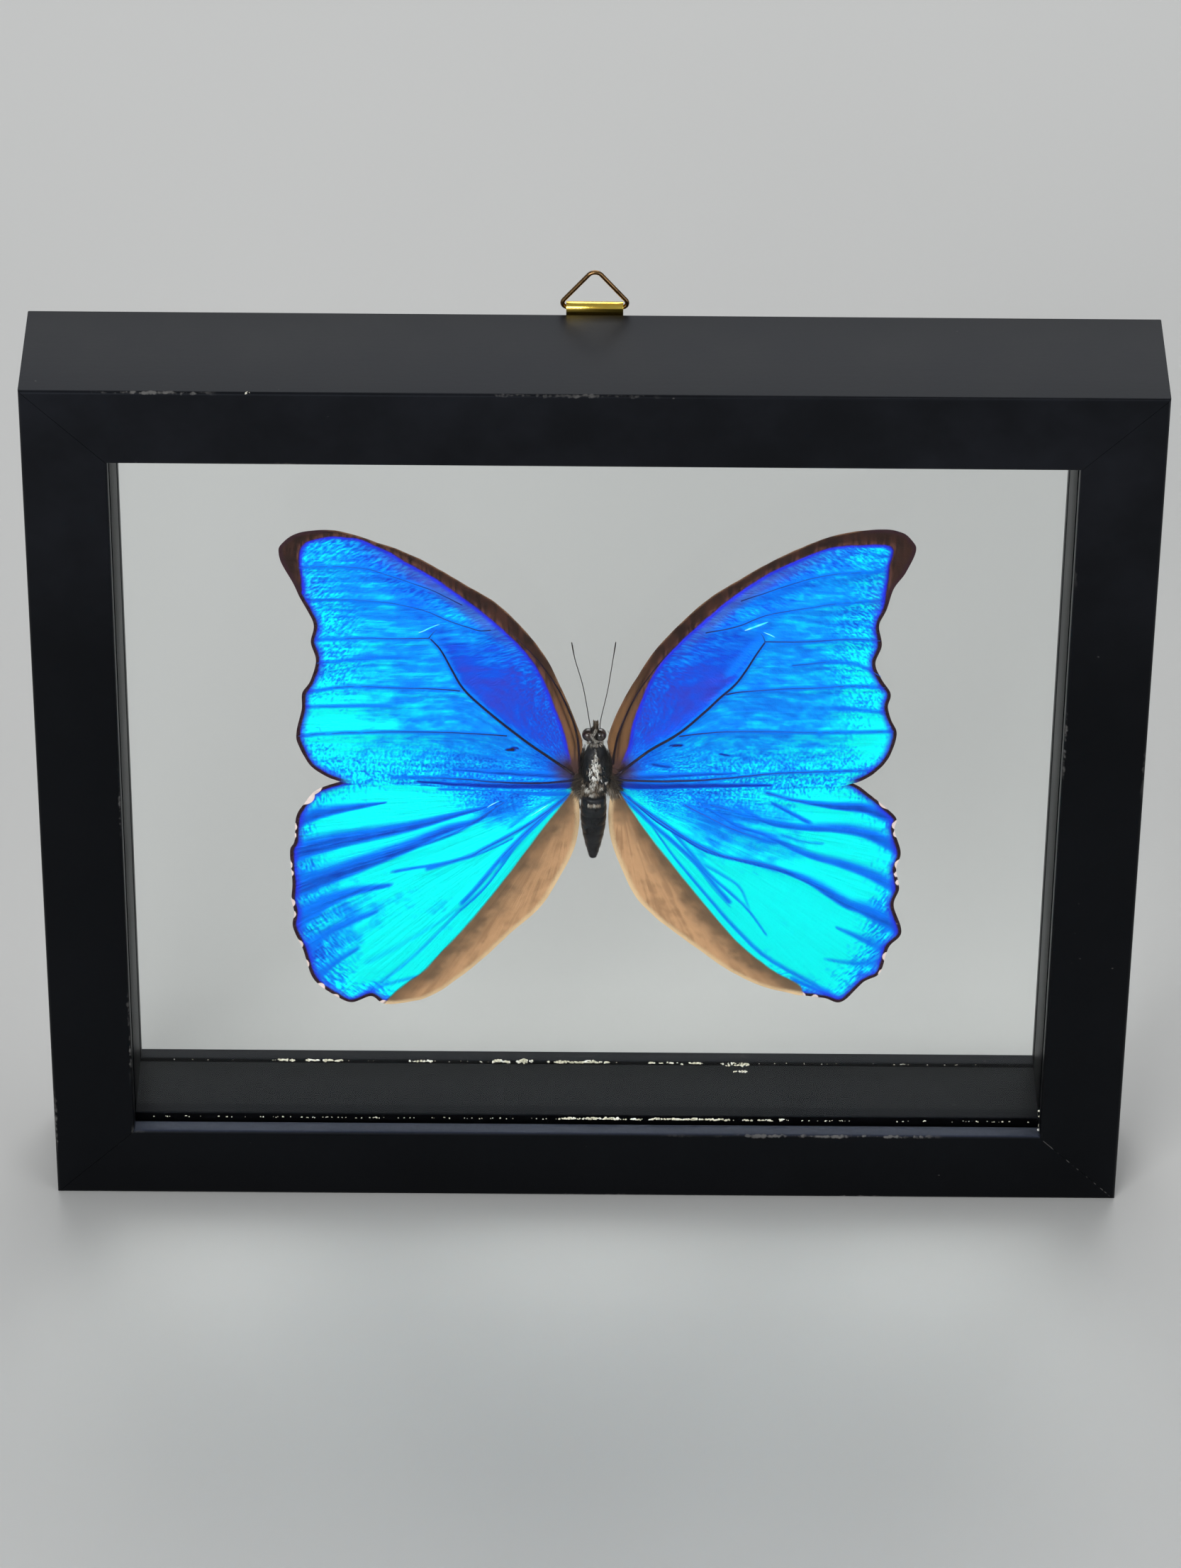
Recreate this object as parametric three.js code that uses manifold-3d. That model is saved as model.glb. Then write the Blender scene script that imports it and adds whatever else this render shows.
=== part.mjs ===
// A blue butterfly specimen set between two panes of glass in a black wooden box frame.
// The frame stands on its bottom rail or hangs from a brass ring that swings in a strap on its back.
// Millimetres: +X to the right, +Y to the back, +Z up. The origin is the middle of the frame's underside.
import * as THREE from "three";
import { ParametricGeometry } from "three/addons/geometries/ParametricGeometry.js";
import { mergeVertices } from "three/addons/utils/BufferGeometryUtils.js";
import Module from "manifold-3d";

const wasm = await Module();
wasm.setup();

// Frame: 10 by 9 inches outside, with rails 3/4 inch wide
const frameWidth = 254;
const frameHeight = 228;
const frameDepth = 34;
const railFace = 19;
const railWall = 12; // thickness of a rail beside the glass
const lipDepth = 4; // front lip that the glass rests against
const edgeChamfer = 0.5;
const mitreGap = 0.06;
const fitGap = 0.15; // between pieces that lie against each other

// What fills the rabbet, from the lip to the back: pane, spacer, pane, stop
const paneThickness = 2.5;
const frontPaneY = -11.55;
const rearPaneY = 11.65;
const spacerFront = -9.6;
const spacerBack = 10.1;
const stopFront = 13.3;
const spacerRise = 0.75; // the lower spacer stands this much above the lip

// Brass hanger on the back of the top rail
const wireRadius = 0.5;
const strapWidth = 12.8;
const strapRadius = 1.3; // outside of the loop round the wire
const strapBore = 0.75;
const strapPlate = 1.1; // the two leaves of the strap pressed together
const strapDrop = 12.5; // from the loop's axis to the foot of the plate
const loopAxis = { y: frameDepth / 2 + 0.1 + strapRadius, z: frameHeight + 0.9 };
const ringHeight = 9.1; // wire centre at the apex above the loop's axis
const ringHalfWidth = 7.25;
const ringCornerRadius = 1.15;
const ringApexRadius = 1.9;
const ringEndGap = 0.8; // the wire's two ends meet inside the strap
const ringSteps = 64;
const nailOffset = 3.4;
const nailDrop = 8;
const nailRadius = 0.55;
const nailHeadRadius = 1.4;
const nailHeadHeight = 0.7;
const nailLength = 8;
const nailHoleRadius = 0.85;

// Butterfly: wings spread in the middle of the frame's depth, about 144 across
const wingThickness = 0.32;
const rimTaper = 0.15; // share of a wing's reach over which it thins to its edge
const edgeSteps = 2; // facets between two points of a wing's outline
const wingRings = 4;
const forewingY = -0.3;
const forewingCamber = 0.9;
const hindwingY = 0.5;
const hindwingCamber = 0.6;
const foldDepth = 3.2; // how far the inner edge of a hindwing turns back beside the abdomen
const foldWidth = 14;
const thoraxCentre = { x: 1.3, y: 1 };
const abdomenCentre = { x: 0.8, y: 1 };
const abdomenTip = 88.9;
const abdomenTop = 107.2;
const jointRadii = [0, 1.35, 2.05, 2.35, 2.5, 2.5, 2.45, 1.9];
const ringSwell = 1.06;
const headCentre = new THREE.Vector3(0.8, 0.5, 124.7);
const headRadius = 1.9;
const eyeRadius = 1.35;
const eyeOffset = new THREE.Vector3(1.45, -0.4, 0.3);
const antennaRadius = 0.16;
const legRadius = 0.4;
const dabStart = { x: 1.3, y: 5.1, z: 111.3 }; // against the thorax
const dabLength = 5.1; // to the rear pane

const black = { color: 0x16171a, roughness: 0.42, metalness: 0 };
const glass = { color: 0xe8f0ee, roughness: 0.03, metalness: 0, transparent: true, opacity: 0.2 };
const brass = { color: 0xd9a62c, roughness: 0.22, metalness: 1 };
const wire = { color: 0x8a6a34, roughness: 0.3, metalness: 1 };
const blue = { color: 0x0a9fe8, roughness: 0.35, metalness: 0.4 };
const darkFur = { color: 0x17140f, roughness: 0.9, metalness: 0 };
const clear = { color: 0xf4f4ee, roughness: 0.1, metalness: 0, transparent: true, opacity: 0.35 };

const specimen = new THREE.Group();

function piece(name, geometry, look, parent = specimen) {
  const mesh = new THREE.Mesh(geometry, new THREE.MeshStandardMaterial(look));
  mesh.name = name;
  parent.add(mesh);
  return mesh;
}

function solidOf(geometry) {
  const bare = geometry.clone();
  bare.deleteAttribute("normal");
  bare.deleteAttribute("uv");
  const merged = mergeVertices(bare);
  const vertProperties = merged.attributes.position.array;
  const triVerts = new Uint32Array(merged.index.array);
  return new wasm.Manifold(new wasm.Mesh({ numProp: 3, vertProperties, triVerts }));
}

function geometryOf(solid) {
  const mesh = solid.getMesh();
  const geometry = new THREE.BufferGeometry();
  geometry.setAttribute("position", new THREE.BufferAttribute(new Float32Array(mesh.vertProperties), 3));
  geometry.setIndex(new THREE.BufferAttribute(new Uint32Array(mesh.triVerts), 1));
  geometry.computeVertexNormals();
  return geometry;
}

const joined = (...geometries) => geometryOf(geometries.map(solidOf).reduce((all, next) => all.add(next)));
const drilled = (body, ...drills) =>
  geometryOf(drills.map(solidOf).reduce((rest, drill) => rest.subtract(drill), solidOf(body)));

// A round wire through the given points.
function wireGeometry(points, radius, steps, halfSides = 3) {
  const section = new THREE.Shape().absarc(0, 0, radius, 0, 2 * Math.PI);
  const extrudePath = new THREE.CatmullRomCurve3(points);
  return new THREE.ExtrudeGeometry(section, { steps, extrudePath, curveSegments: halfSides });
}

// A turned form: pairs of radius and height, from the low end to the high end, about the Z axis.
function turned(profile, sides) {
  const points = profile.map(([radius, height]) => new THREE.Vector2(radius, height));
  return new THREE.LatheGeometry(points, sides).rotateX(Math.PI / 2);
}

// Frame

// A rail lies along X with its outer face down; its ends are cut back to the mitres.
function railGeometry(length) {
  const front = -frameDepth / 2;
  const back = frameDepth / 2;
  const section = new THREE.Shape([
    new THREE.Vector2(edgeChamfer, front),
    new THREE.Vector2(railFace - edgeChamfer, front),
    new THREE.Vector2(railFace, front + edgeChamfer),
    new THREE.Vector2(railFace, front + lipDepth),
    new THREE.Vector2(railWall, front + lipDepth),
    new THREE.Vector2(railWall, back),
    new THREE.Vector2(edgeChamfer, back),
    new THREE.Vector2(0, back - edgeChamfer),
    new THREE.Vector2(0, front + edgeChamfer),
  ]);
  const geometry = new THREE.ExtrudeGeometry(section, { depth: 1, bevelEnabled: false });
  const position = geometry.attributes.position;
  for (let i = 0; i < position.count; i++) {
    const inward = position.getX(i);
    const side = 1 - 2 * position.getZ(i);
    position.setXYZ(i, side * (length / 2 - inward - mitreGap), position.getY(i), inward);
  }
  return geometry;
}

function nailDrill(x) {
  const reach = nailLength + nailRadius + 0.3;
  const drill = new THREE.CylinderGeometry(nailHoleRadius, nailHoleRadius, 2 * reach, 12);
  return drill.translate(x, frameDepth / 2, loopAxis.z - nailDrop);
}

function addFrame() {
  const across = railGeometry(frameWidth);
  const upright = railGeometry(frameHeight);
  const topRail = across.clone().rotateY(Math.PI).translate(0, 0, frameHeight);
  piece("top_rail", drilled(topRail, nailDrill(-nailOffset), nailDrill(nailOffset)), black);
  piece("bottom_rail", across, black);
  for (const [name, side] of [["left_rail", -1], ["right_rail", 1]]) {
    const rail = piece(name, upright, black);
    rail.rotation.y = (-side * Math.PI) / 2;
    rail.position.set((side * frameWidth) / 2, 0, frameHeight / 2);
  }
}

function addPanes() {
  const paneInset = 2 * (railWall + fitGap);
  const pane = new THREE.BoxGeometry(frameWidth - paneInset, paneThickness, frameHeight - paneInset);
  piece("front_glass", pane, glass).position.set(0, frontPaneY, frameHeight / 2);
  piece("rear_glass", pane, glass).position.set(0, rearPaneY, frameHeight / 2);
}

// Four strips line the rabbet; the upright ones fit between the other two.
function addStrips(name, front, back, rise = 0) {
  const thickness = railFace - railWall - fitGap;
  const centreY = (front + back) / 2;
  const offset = railWall + fitGap + thickness / 2;
  const lying = new THREE.BoxGeometry(frameWidth - 2 * (railWall + fitGap), back - front, thickness);
  const raised = new THREE.BoxGeometry(frameWidth - 2 * (railWall + fitGap), back - front, thickness + rise);
  const standing = new THREE.BoxGeometry(thickness, back - front, frameHeight - 2 * (railFace + fitGap) - rise);
  piece(name + "_bottom", raised, black).position.set(0, centreY, offset + rise / 2);
  piece(name + "_top", lying, black).position.set(0, centreY, frameHeight - offset);
  piece(name + "_left", standing, black).position.set(offset - frameWidth / 2, centreY, (frameHeight + rise) / 2);
  piece(name + "_right", standing, black).position.set(frameWidth / 2 - offset, centreY, (frameHeight + rise) / 2);
}

// Hanger

// The strap is folded round the wire: a plate hanging from a loop about the ring's axis.
function strapGeometry() {
  const plateBack = strapPlate - strapRadius;
  const section = new THREE.Shape();
  section.moveTo(-strapRadius, -strapDrop);
  section.absarc(0, 0, strapRadius, Math.PI, -Math.acos(plateBack / strapRadius), true);
  section.lineTo(plateBack, -strapDrop);
  section.holes.push(new THREE.Path().absarc(0, 0, strapBore, 0, 2 * Math.PI));
  const strap = new THREE.ExtrudeGeometry(section, { depth: strapWidth, bevelEnabled: false, curveSegments: 7 });
  strap.rotateZ(Math.PI / 2).rotateY(Math.PI / 2); // the section's own axes become Y and Z
  return strap.translate(-strapWidth / 2, loopAxis.y, loopAxis.z);
}

// The ring is a triangle of wire with rounded corners, open by a small gap inside the strap.
function ringPoints() {
  const cornerX = ringHalfWidth - ringCornerRadius;
  const apexZ = ringHeight - ringApexRadius;
  const rise = apexZ - ringCornerRadius;
  const lean = Math.atan2(rise, -cornerX);
  const tangent = lean - Math.acos((ringCornerRadius - ringApexRadius) / Math.hypot(cornerX, rise));
  const path = new THREE.Path();
  path.moveTo(ringEndGap / 2, 0);
  path.lineTo(cornerX, 0);
  path.absarc(cornerX, ringCornerRadius, ringCornerRadius, -Math.PI / 2, tangent, false);
  path.absarc(0, apexZ, ringApexRadius, tangent, Math.PI - tangent, false);
  path.absarc(-cornerX, ringCornerRadius, ringCornerRadius, Math.PI - tangent, 1.5 * Math.PI, false);
  path.lineTo(-ringEndGap / 2, 0);
  return path.getSpacedPoints(ringSteps).map((p) => new THREE.Vector3(p.x, loopAxis.y, loopAxis.z + p.y));
}

function addHanger() {
  const strap = drilled(strapGeometry(), nailDrill(-nailOffset), nailDrill(nailOffset));
  piece("hanger_strap", strap, brass);
  piece("hanger_ring", wireGeometry(ringPoints(), wireRadius, ringSteps, 4), wire);
  const plateFace = loopAxis.y - strapRadius + strapPlate + 0.1;
  const nail = turned(
    [
      [0, -nailLength - nailRadius],
      [nailRadius, -nailLength],
      [nailRadius, 0],
      [nailHeadRadius, 0],
      [nailHeadRadius * 0.8, nailHeadHeight * 0.7],
      [0, nailHeadHeight],
    ],
    12,
  ).rotateX(-Math.PI / 2);
  piece("hanger_nail_left", nail, brass).position.set(-nailOffset, plateFace, loopAxis.z - nailDrop);
  piece("hanger_nail_right", nail, brass).position.set(nailOffset, plateFace, loopAxis.z - nailDrop);
}

// Wings: each outline runs from the root along the leading edge, round the tip and back, as [x, z].

const leftForewing = [
  [-1.9, 122.4], [-3.3, 127.9], [-6.9, 138.2], [-11.6, 148.7], [-20.4, 160.3], [-29.3, 167.1],
  [-40.1, 174.2], [-49.3, 178.4], [-56.5, 180.9], [-62.2, 181.4], [-67.2, 180.4], [-70.6, 177.4],
  [-71.2, 175.3], [-70.4, 171.8], [-68, 166.8], [-66.4, 162.4], [-63.6, 155.8], [-64.3, 150.5],
  [-63.2, 145.5], [-64.6, 139.7], [-66.5, 136.3], [-66.7, 131.8], [-68, 125.5], [-67.7, 121.8],
  [-64.8, 115.5], [-59.3, 111.6], [-53, 110.4], [-40, 110.1], [-25.4, 109.2], [-12, 108.6],
  [-5, 109.6], [-3, 112.8], [-2.7, 117.4],
];
const rightForewing = [
  [3.9, 123.4], [5.8, 130.8], [9.9, 140.3], [15.8, 150.8], [25, 161.8], [35, 169.8],
  [45, 176.3], [54.7, 181], [63.9, 182.7], [69.5, 182.1], [72.6, 179.2], [73.2, 176.6],
  [71.1, 170.8], [68.6, 166.6], [67.2, 160.8], [65.6, 156.4], [66.4, 150.8], [65.1, 145.8],
  [66.7, 141.3], [68.9, 137.3], [68.4, 133.6], [69.3, 129.8], [70.7, 126.2], [69.9, 121.6],
  [67.9, 117.1], [63.2, 112.6], [58, 111], [50, 110.2], [35, 109.4], [20, 109.3],
  [9, 109.5], [5.5, 111.8], [5, 117.8],
];
const leftHindwing = [
  [-3.5, 108.4], [-12, 111.8], [-35, 114.1], [-50, 113.1], [-59, 110.2], [-63.8, 108.1],
  [-66.7, 104.1], [-68.6, 100.2], [-69.1, 93.3], [-70.2, 90.2], [-69.8, 81.2], [-70.1, 76.4],
  [-69.5, 72.3], [-69.9, 68.1], [-67.6, 61.2], [-65.4, 52.8], [-61.2, 48.6], [-56.4, 45.7],
  [-51.7, 47.6], [-48.5, 45.4], [-43.3, 45.3], [-38, 46.2], [-32.2, 50.3], [-24.8, 57.4],
  [-18.5, 64.7], [-11.7, 71.8], [-7.5, 80], [-3.8, 89.2], [-2.5, 97.4], [-2.6, 104.8],
];
const rightHindwing = [
  [5.8, 108.8], [14, 111.8], [35, 114.1], [52, 113.3], [61, 111.1], [65.3, 107.8],
  [68.2, 105], [71.5, 101.2], [71.2, 97.8], [72.9, 91.2], [72, 86.5], [72.9, 80.7],
  [71.8, 75.8], [73.9, 67.8], [71.1, 63.3], [69.2, 55.7], [65.5, 53], [60.5, 47],
  [56, 48], [48, 49], [42.1, 50.2], [33.9, 54.3], [26.3, 60.2], [19.5, 65.8],
  [14.7, 70.5], [10.5, 76.3], [7.4, 84.3], [5.2, 91.8], [4.3, 99.1], [4.6, 105.8],
];
const forewingHub = { left: [-36, 135.8], right: [38, 135.8] };
const hindwingHub = { left: [-42, 82.8], right: [44, 82.8] };
const foldLine = {
  left: { top: [-5.1, 106.9], foot: [-53.3, 48.5] },
  right: { top: [7.4, 107.4], foot: [48.9, 51.6] },
};

// How far (x, z) lies past the fold line on the side of the body.
function pastFold(x, z, { top, foot }) {
  const run = [foot[0] - top[0], foot[1] - top[1]];
  const towardsBody = top[0] < 0 ? -1 : 1;
  const cross = run[1] * (x - top[0]) - run[0] * (z - top[1]);
  return (towardsBody * cross) / Math.hypot(...run);
}

const forewingSurface = (x, z, reach) => forewingY - forewingCamber * (1 - reach * reach);

const hindwingSurface = (line) => (x, z, reach) => {
  const fold = THREE.MathUtils.smoothstep(pastFold(x, z, line), 0, foldWidth);
  return hindwingY - hindwingCamber * (1 - reach * reach) + foldDepth * fold;
};

// A wing is a thin blade. Rings run from its hub out to the edge over the front and back over the rear.
function wingGeometry(outline, hub, surface) {
  const edge = new THREE.CatmullRomCurve3(outline.map(([x, z]) => new THREE.Vector3(x, 0, z)), true);
  const flat = outline.map(([x, z]) => new THREE.Vector2(x, z));
  const clockwise = THREE.ShapeUtils.isClockWise(flat);
  const point = (u, v, target) => {
    const reach = Math.sin((1 - Math.abs(1 - 2 * v)) * Math.PI * 0.5);
    const rim = edge.getPoint((clockwise ? u : 1 - u) % 1);
    const x = hub[0] + (rim.x - hub[0]) * reach;
    const z = hub[1] + (rim.z - hub[1]) * reach;
    const half = (wingThickness / 2) * Math.min(1, (1 - reach) / rimTaper);
    target.set(x, surface(x, z, reach) + (v < 0.5 ? -half : half), z);
  };
  return new ParametricGeometry(point, outline.length * edgeSteps, 2 * wingRings);
}

function addWings() {
  piece("left_forewing", wingGeometry(leftForewing, forewingHub.left, forewingSurface), blue);
  piece("right_forewing", wingGeometry(rightForewing, forewingHub.right, forewingSurface), blue);
  const leftFold = hindwingSurface(foldLine.left);
  const rightFold = hindwingSurface(foldLine.right);
  piece("left_hindwing", wingGeometry(leftHindwing, hindwingHub.left, leftFold), blue);
  piece("right_hindwing", wingGeometry(rightHindwing, hindwingHub.right, rightFold), blue);
}

// Body

function addThorax() {
  const profile = [
    [0, 107.7], [1.9, 108.1], [2.9, 109.4], [3.4, 111.6], [3.5, 113.8], [3.4, 116],
    [3.1, 118.2], [2.6, 120], [1.6, 121.7], [0, 122.4],
  ];
  const thorax = piece("thorax", turned(profile, 16), darkFur);
  thorax.position.set(thoraxCentre.x, thoraxCentre.y, 0);
  thorax.scale.y = 1.08;
}

// The abdomen tapers to its tip in rings that swell a little between their joints.
function addAbdomen() {
  const ringLength = (abdomenTop - abdomenTip) / (jointRadii.length - 1);
  const profile = [[0, abdomenTip]];
  for (let i = 1; i < jointRadii.length; i++) {
    const middle = (jointRadii[i - 1] + jointRadii[i]) / 2;
    profile.push([middle * ringSwell, abdomenTip + (i - 0.5) * ringLength]);
    profile.push([jointRadii[i], abdomenTip + i * ringLength]);
  }
  profile.push([0, abdomenTop]);
  const abdomen = piece("abdomen", turned(profile, 16), darkFur);
  abdomen.position.set(abdomenCentre.x, abdomenCentre.y, 0);
}

function ball(radius, centre, stretch = [1, 1, 1]) {
  const sphere = new THREE.SphereGeometry(radius, 14, 10);
  return sphere.scale(...stretch).translate(centre.x, centre.y, centre.z);
}

function addHead() {
  const parts = [ball(headRadius, headCentre)];
  for (const side of [-1, 1]) {
    const eye = headCentre.clone().add(new THREE.Vector3(side * eyeOffset.x, eyeOffset.y, eyeOffset.z));
    const palp = headCentre.clone().add(new THREE.Vector3(0.3 + side * 0.3, -0.5, 3));
    parts.push(ball(eyeRadius, eye), ball(0.33, palp, [1, 1, 4]));
  }
  piece("head", joined(...parts), darkFur);
}

function addAntennae() {
  const left = [[-0.1, -0.1, 126.8], [-0.5, -0.5, 130], [-1.9, -1.1, 139.2], [-3.8, -1.6, 147.2], [-4.6, -2, 152.2]];
  const right = [[2.1, -0.1, 126.8], [2.3, -0.5, 129.8], [3.7, -1, 137.8], [4.7, -1.6, 145.7], [5.5, -2, 152.4]];
  for (const [name, route] of [["left_antenna", left], ["right_antenna", right]]) {
    const points = route.map((p) => new THREE.Vector3(...p));
    piece(name, wireGeometry(points, antennaRadius, 12), darkFur);
  }
}

// Four walking legs lie folded under the thorax, each a mirror of the one on the other side.
function addLegs() {
  const routes = {
    middle_leg: [[1.5, 4.6, 116.4], [4.4, 6.4, 113.4], [7.4, 6.8, 108.8], [6, 6.6, 103.2]],
    hind_leg: [[2.7, 4.4, 113.2], [4.8, 7, 108.2], [4.4, 7.8, 102.8], [3.6, 7.6, 98.2]],
  };
  for (const [name, route] of Object.entries(routes)) {
    for (const [sideName, side] of [["left_", -1], ["right_", 1]]) {
      const points = route.map(([x, y, z]) => new THREE.Vector3(thoraxCentre.x + side * x, y, z));
      piece(sideName + name, wireGeometry(points, legRadius, 12), darkFur);
    }
  }
}

// A dab of clear glue between the thorax and the rear pane holds the butterfly.
function addGlueDab() {
  const profile = [[0, 0], [1.2, 0], [1.5, 0.5], [1.2, 2.4], [1.9, dabLength], [0, dabLength]];
  const dab = turned(profile, 14).rotateX(-Math.PI / 2);
  piece("clear_glue_dab", dab, clear).position.set(dabStart.x, dabStart.y, dabStart.z);
}

addFrame();
addPanes();
addStrips("spacer", spacerFront, spacerBack, spacerRise);
addStrips("rear_stop", stopFront, frameDepth / 2);
addHanger();
addWings();
addThorax();
addAbdomen();
addHead();
addAntennae();
addLegs();
addGlueDab();

export default specimen;
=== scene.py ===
import math
import random

import bmesh
import bpy
import numpy
from mathutils import Matrix, Quaternion, Vector, noise


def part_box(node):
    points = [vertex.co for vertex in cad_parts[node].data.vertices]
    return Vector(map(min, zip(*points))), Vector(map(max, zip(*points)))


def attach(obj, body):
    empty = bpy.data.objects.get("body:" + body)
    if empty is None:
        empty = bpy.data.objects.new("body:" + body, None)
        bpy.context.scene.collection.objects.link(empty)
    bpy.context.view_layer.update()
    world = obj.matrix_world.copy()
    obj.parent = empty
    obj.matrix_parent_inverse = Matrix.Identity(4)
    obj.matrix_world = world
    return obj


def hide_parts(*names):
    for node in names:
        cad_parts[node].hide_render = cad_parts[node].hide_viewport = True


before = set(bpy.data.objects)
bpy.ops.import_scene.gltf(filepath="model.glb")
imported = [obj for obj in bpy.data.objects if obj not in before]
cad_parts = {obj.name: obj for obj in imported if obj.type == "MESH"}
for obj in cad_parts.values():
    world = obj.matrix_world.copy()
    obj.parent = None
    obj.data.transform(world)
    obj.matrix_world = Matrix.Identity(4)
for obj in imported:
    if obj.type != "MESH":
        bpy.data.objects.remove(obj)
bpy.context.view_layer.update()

mm = 0.001
random.seed(11)
holderBody = "framed_specimen"
ringBody = "hanging_ring"


view = {
    "stand": (-6.404, -1237.726, 1009.308),  # millimetres, as all places below
    "aim": (0.05, 0, 110.05),
    "roll": 0.5917,  # degrees
    "lens": 150.97,  # on a 36 mm frame, along the long side
}


def makeCamera():
    data = bpy.data.cameras.new("camera")
    data.sensor_width = 36
    data.lens = view["lens"]
    stand = Vector(view["stand"]) * mm
    aim = Vector(view["aim"]) * mm
    turn = (aim - stand).to_track_quat("-Z", "Y")
    turn = turn @ Quaternion((0, 0, 1), math.radians(view["roll"]))
    camera = bpy.data.objects.new("camera", data)
    camera.matrix_world = Matrix.LocRotScale(stand, turn, None)
    bpy.context.scene.collection.objects.link(camera)
    bpy.context.scene.camera = camera


# Arithmetic on a Shade adds Math nodes; node() adds any other kind.
class Shade:
    def __init__(self, tree, socket=None):
        self.tree = tree
        self.socket = socket

    def node(self, kind, settings=None, sockets=None, out=0):
        made = self.tree.nodes.new("ShaderNode" + kind)
        for name, value in (settings or {}).items():
            if name == "stops":
                setStops(made.color_ramp, value)
            else:
                setattr(made, name, value)
        for name, value in (sockets or {}).items():
            if isinstance(value, Shade):
                self.tree.links.new(value.socket, made.inputs[name])
            else:
                made.inputs[name].default_value = value
        return Shade(self.tree, made.outputs[out] if made.outputs else None)

    def maths(self, operation, *others):
        return self.node("Math", {"operation": operation}, dict(enumerate((self, *others))))

    def __add__(self, other):
        return self.maths("ADD", other)

    def __sub__(self, other):
        return self.maths("SUBTRACT", other)

    def __rsub__(self, other):
        return (self * -1) + other

    def __mul__(self, other):
        return self.maths("MULTIPLY", other)

    def __truediv__(self, other):
        return self.maths("DIVIDE", other)

    def __pow__(self, other):
        return self.maths("POWER", other)

    __radd__ = __add__
    __rmul__ = __mul__

    def size(self):
        return self.maths("ABSOLUTE")

    def least(self, other):
        return self.maths("MINIMUM", other)

    def most(self, other):
        return self.maths("MAXIMUM", other)

    # 0 at low, 1 at high, eased between; low may be above high
    def ease(self, low, high):
        sockets = {0: self, 1: low, 2: high, 3: 0.0, 4: 1.0}
        return self.node("MapRange", {"interpolation_type": "SMOOTHSTEP"}, sockets)

    def blend(self, first, second):
        return self.node("Mix", {"data_type": "RGBA"}, {0: self, 6: colour(first), 7: colour(second)}, 2)

    def ramp(self, stops):
        return self.node("ValToRGB", {"stops": stops}, {0: self})

    def reading(self, name):
        return self.node("Attribute", {"attribute_name": name}, out=2)

    def place(self):
        return self.node("TexCoord", out=3)

    def stretch(self, vector, scale):
        return self.node("VectorMath", {"operation": "MULTIPLY"}, {0: vector, 1: scale})

    def cloud(self, vector, scale, detail=3, roughness=0.5):
        sockets = {"Vector": vector, "Scale": scale, "Detail": detail, "Roughness": roughness}
        return self.node("TexNoise", None, sockets)

    def bump(self, height, strength, distance):
        return self.node("Bump", None, {"Height": height, "Strength": strength, "Distance": distance})


def colour(value):
    return value if isinstance(value, Shade) else (*value, 1)


def setStops(ramp, stops):
    ramp.elements[0].position = stops[0][0]
    ramp.elements[0].color = colour(stops[0][1])
    ramp.elements[1].position = stops[-1][0]
    ramp.elements[1].color = colour(stops[-1][1])
    for position, tint in stops[1:-1]:
        ramp.elements.new(position).color = colour(tint)


def startMaterial(name):
    material = bpy.data.materials.new(name)
    material.use_nodes = True
    material.node_tree.nodes.clear()
    return material, Shade(material.node_tree)


def endMaterial(material, surface):
    surface.node("OutputMaterial", None, {"Surface": surface})
    return material


def surfaceOf(shade, **sockets):
    named = {name.replace("_", " "): value for name, value in sockets.items()}
    return shade.node("BsdfPrincipled", None, named)


woodLook = {
    "paint": (0.0036, 0.0037, 0.0046),
    "faded": (0.0088, 0.0093, 0.0122),
    # painted shade, laid over the frame below its top and between the panes
    "paintedShade": (0.0008, 0.0008, 0.0010),
    "worn": (0.10, 0.105, 0.125),
    # painted light on the upper face of the bottom lip
    "lip": (0.020, 0.024, 0.040),
    "sheen": (0.74, 0.84, 1.0, 1.0),
    "primer": (0.16, 0.155, 0.15),  # shows where the paint has rubbed off an edge
    "roughness": 0.42,
    "rubWidth": 0.55 * mm,
}


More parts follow.
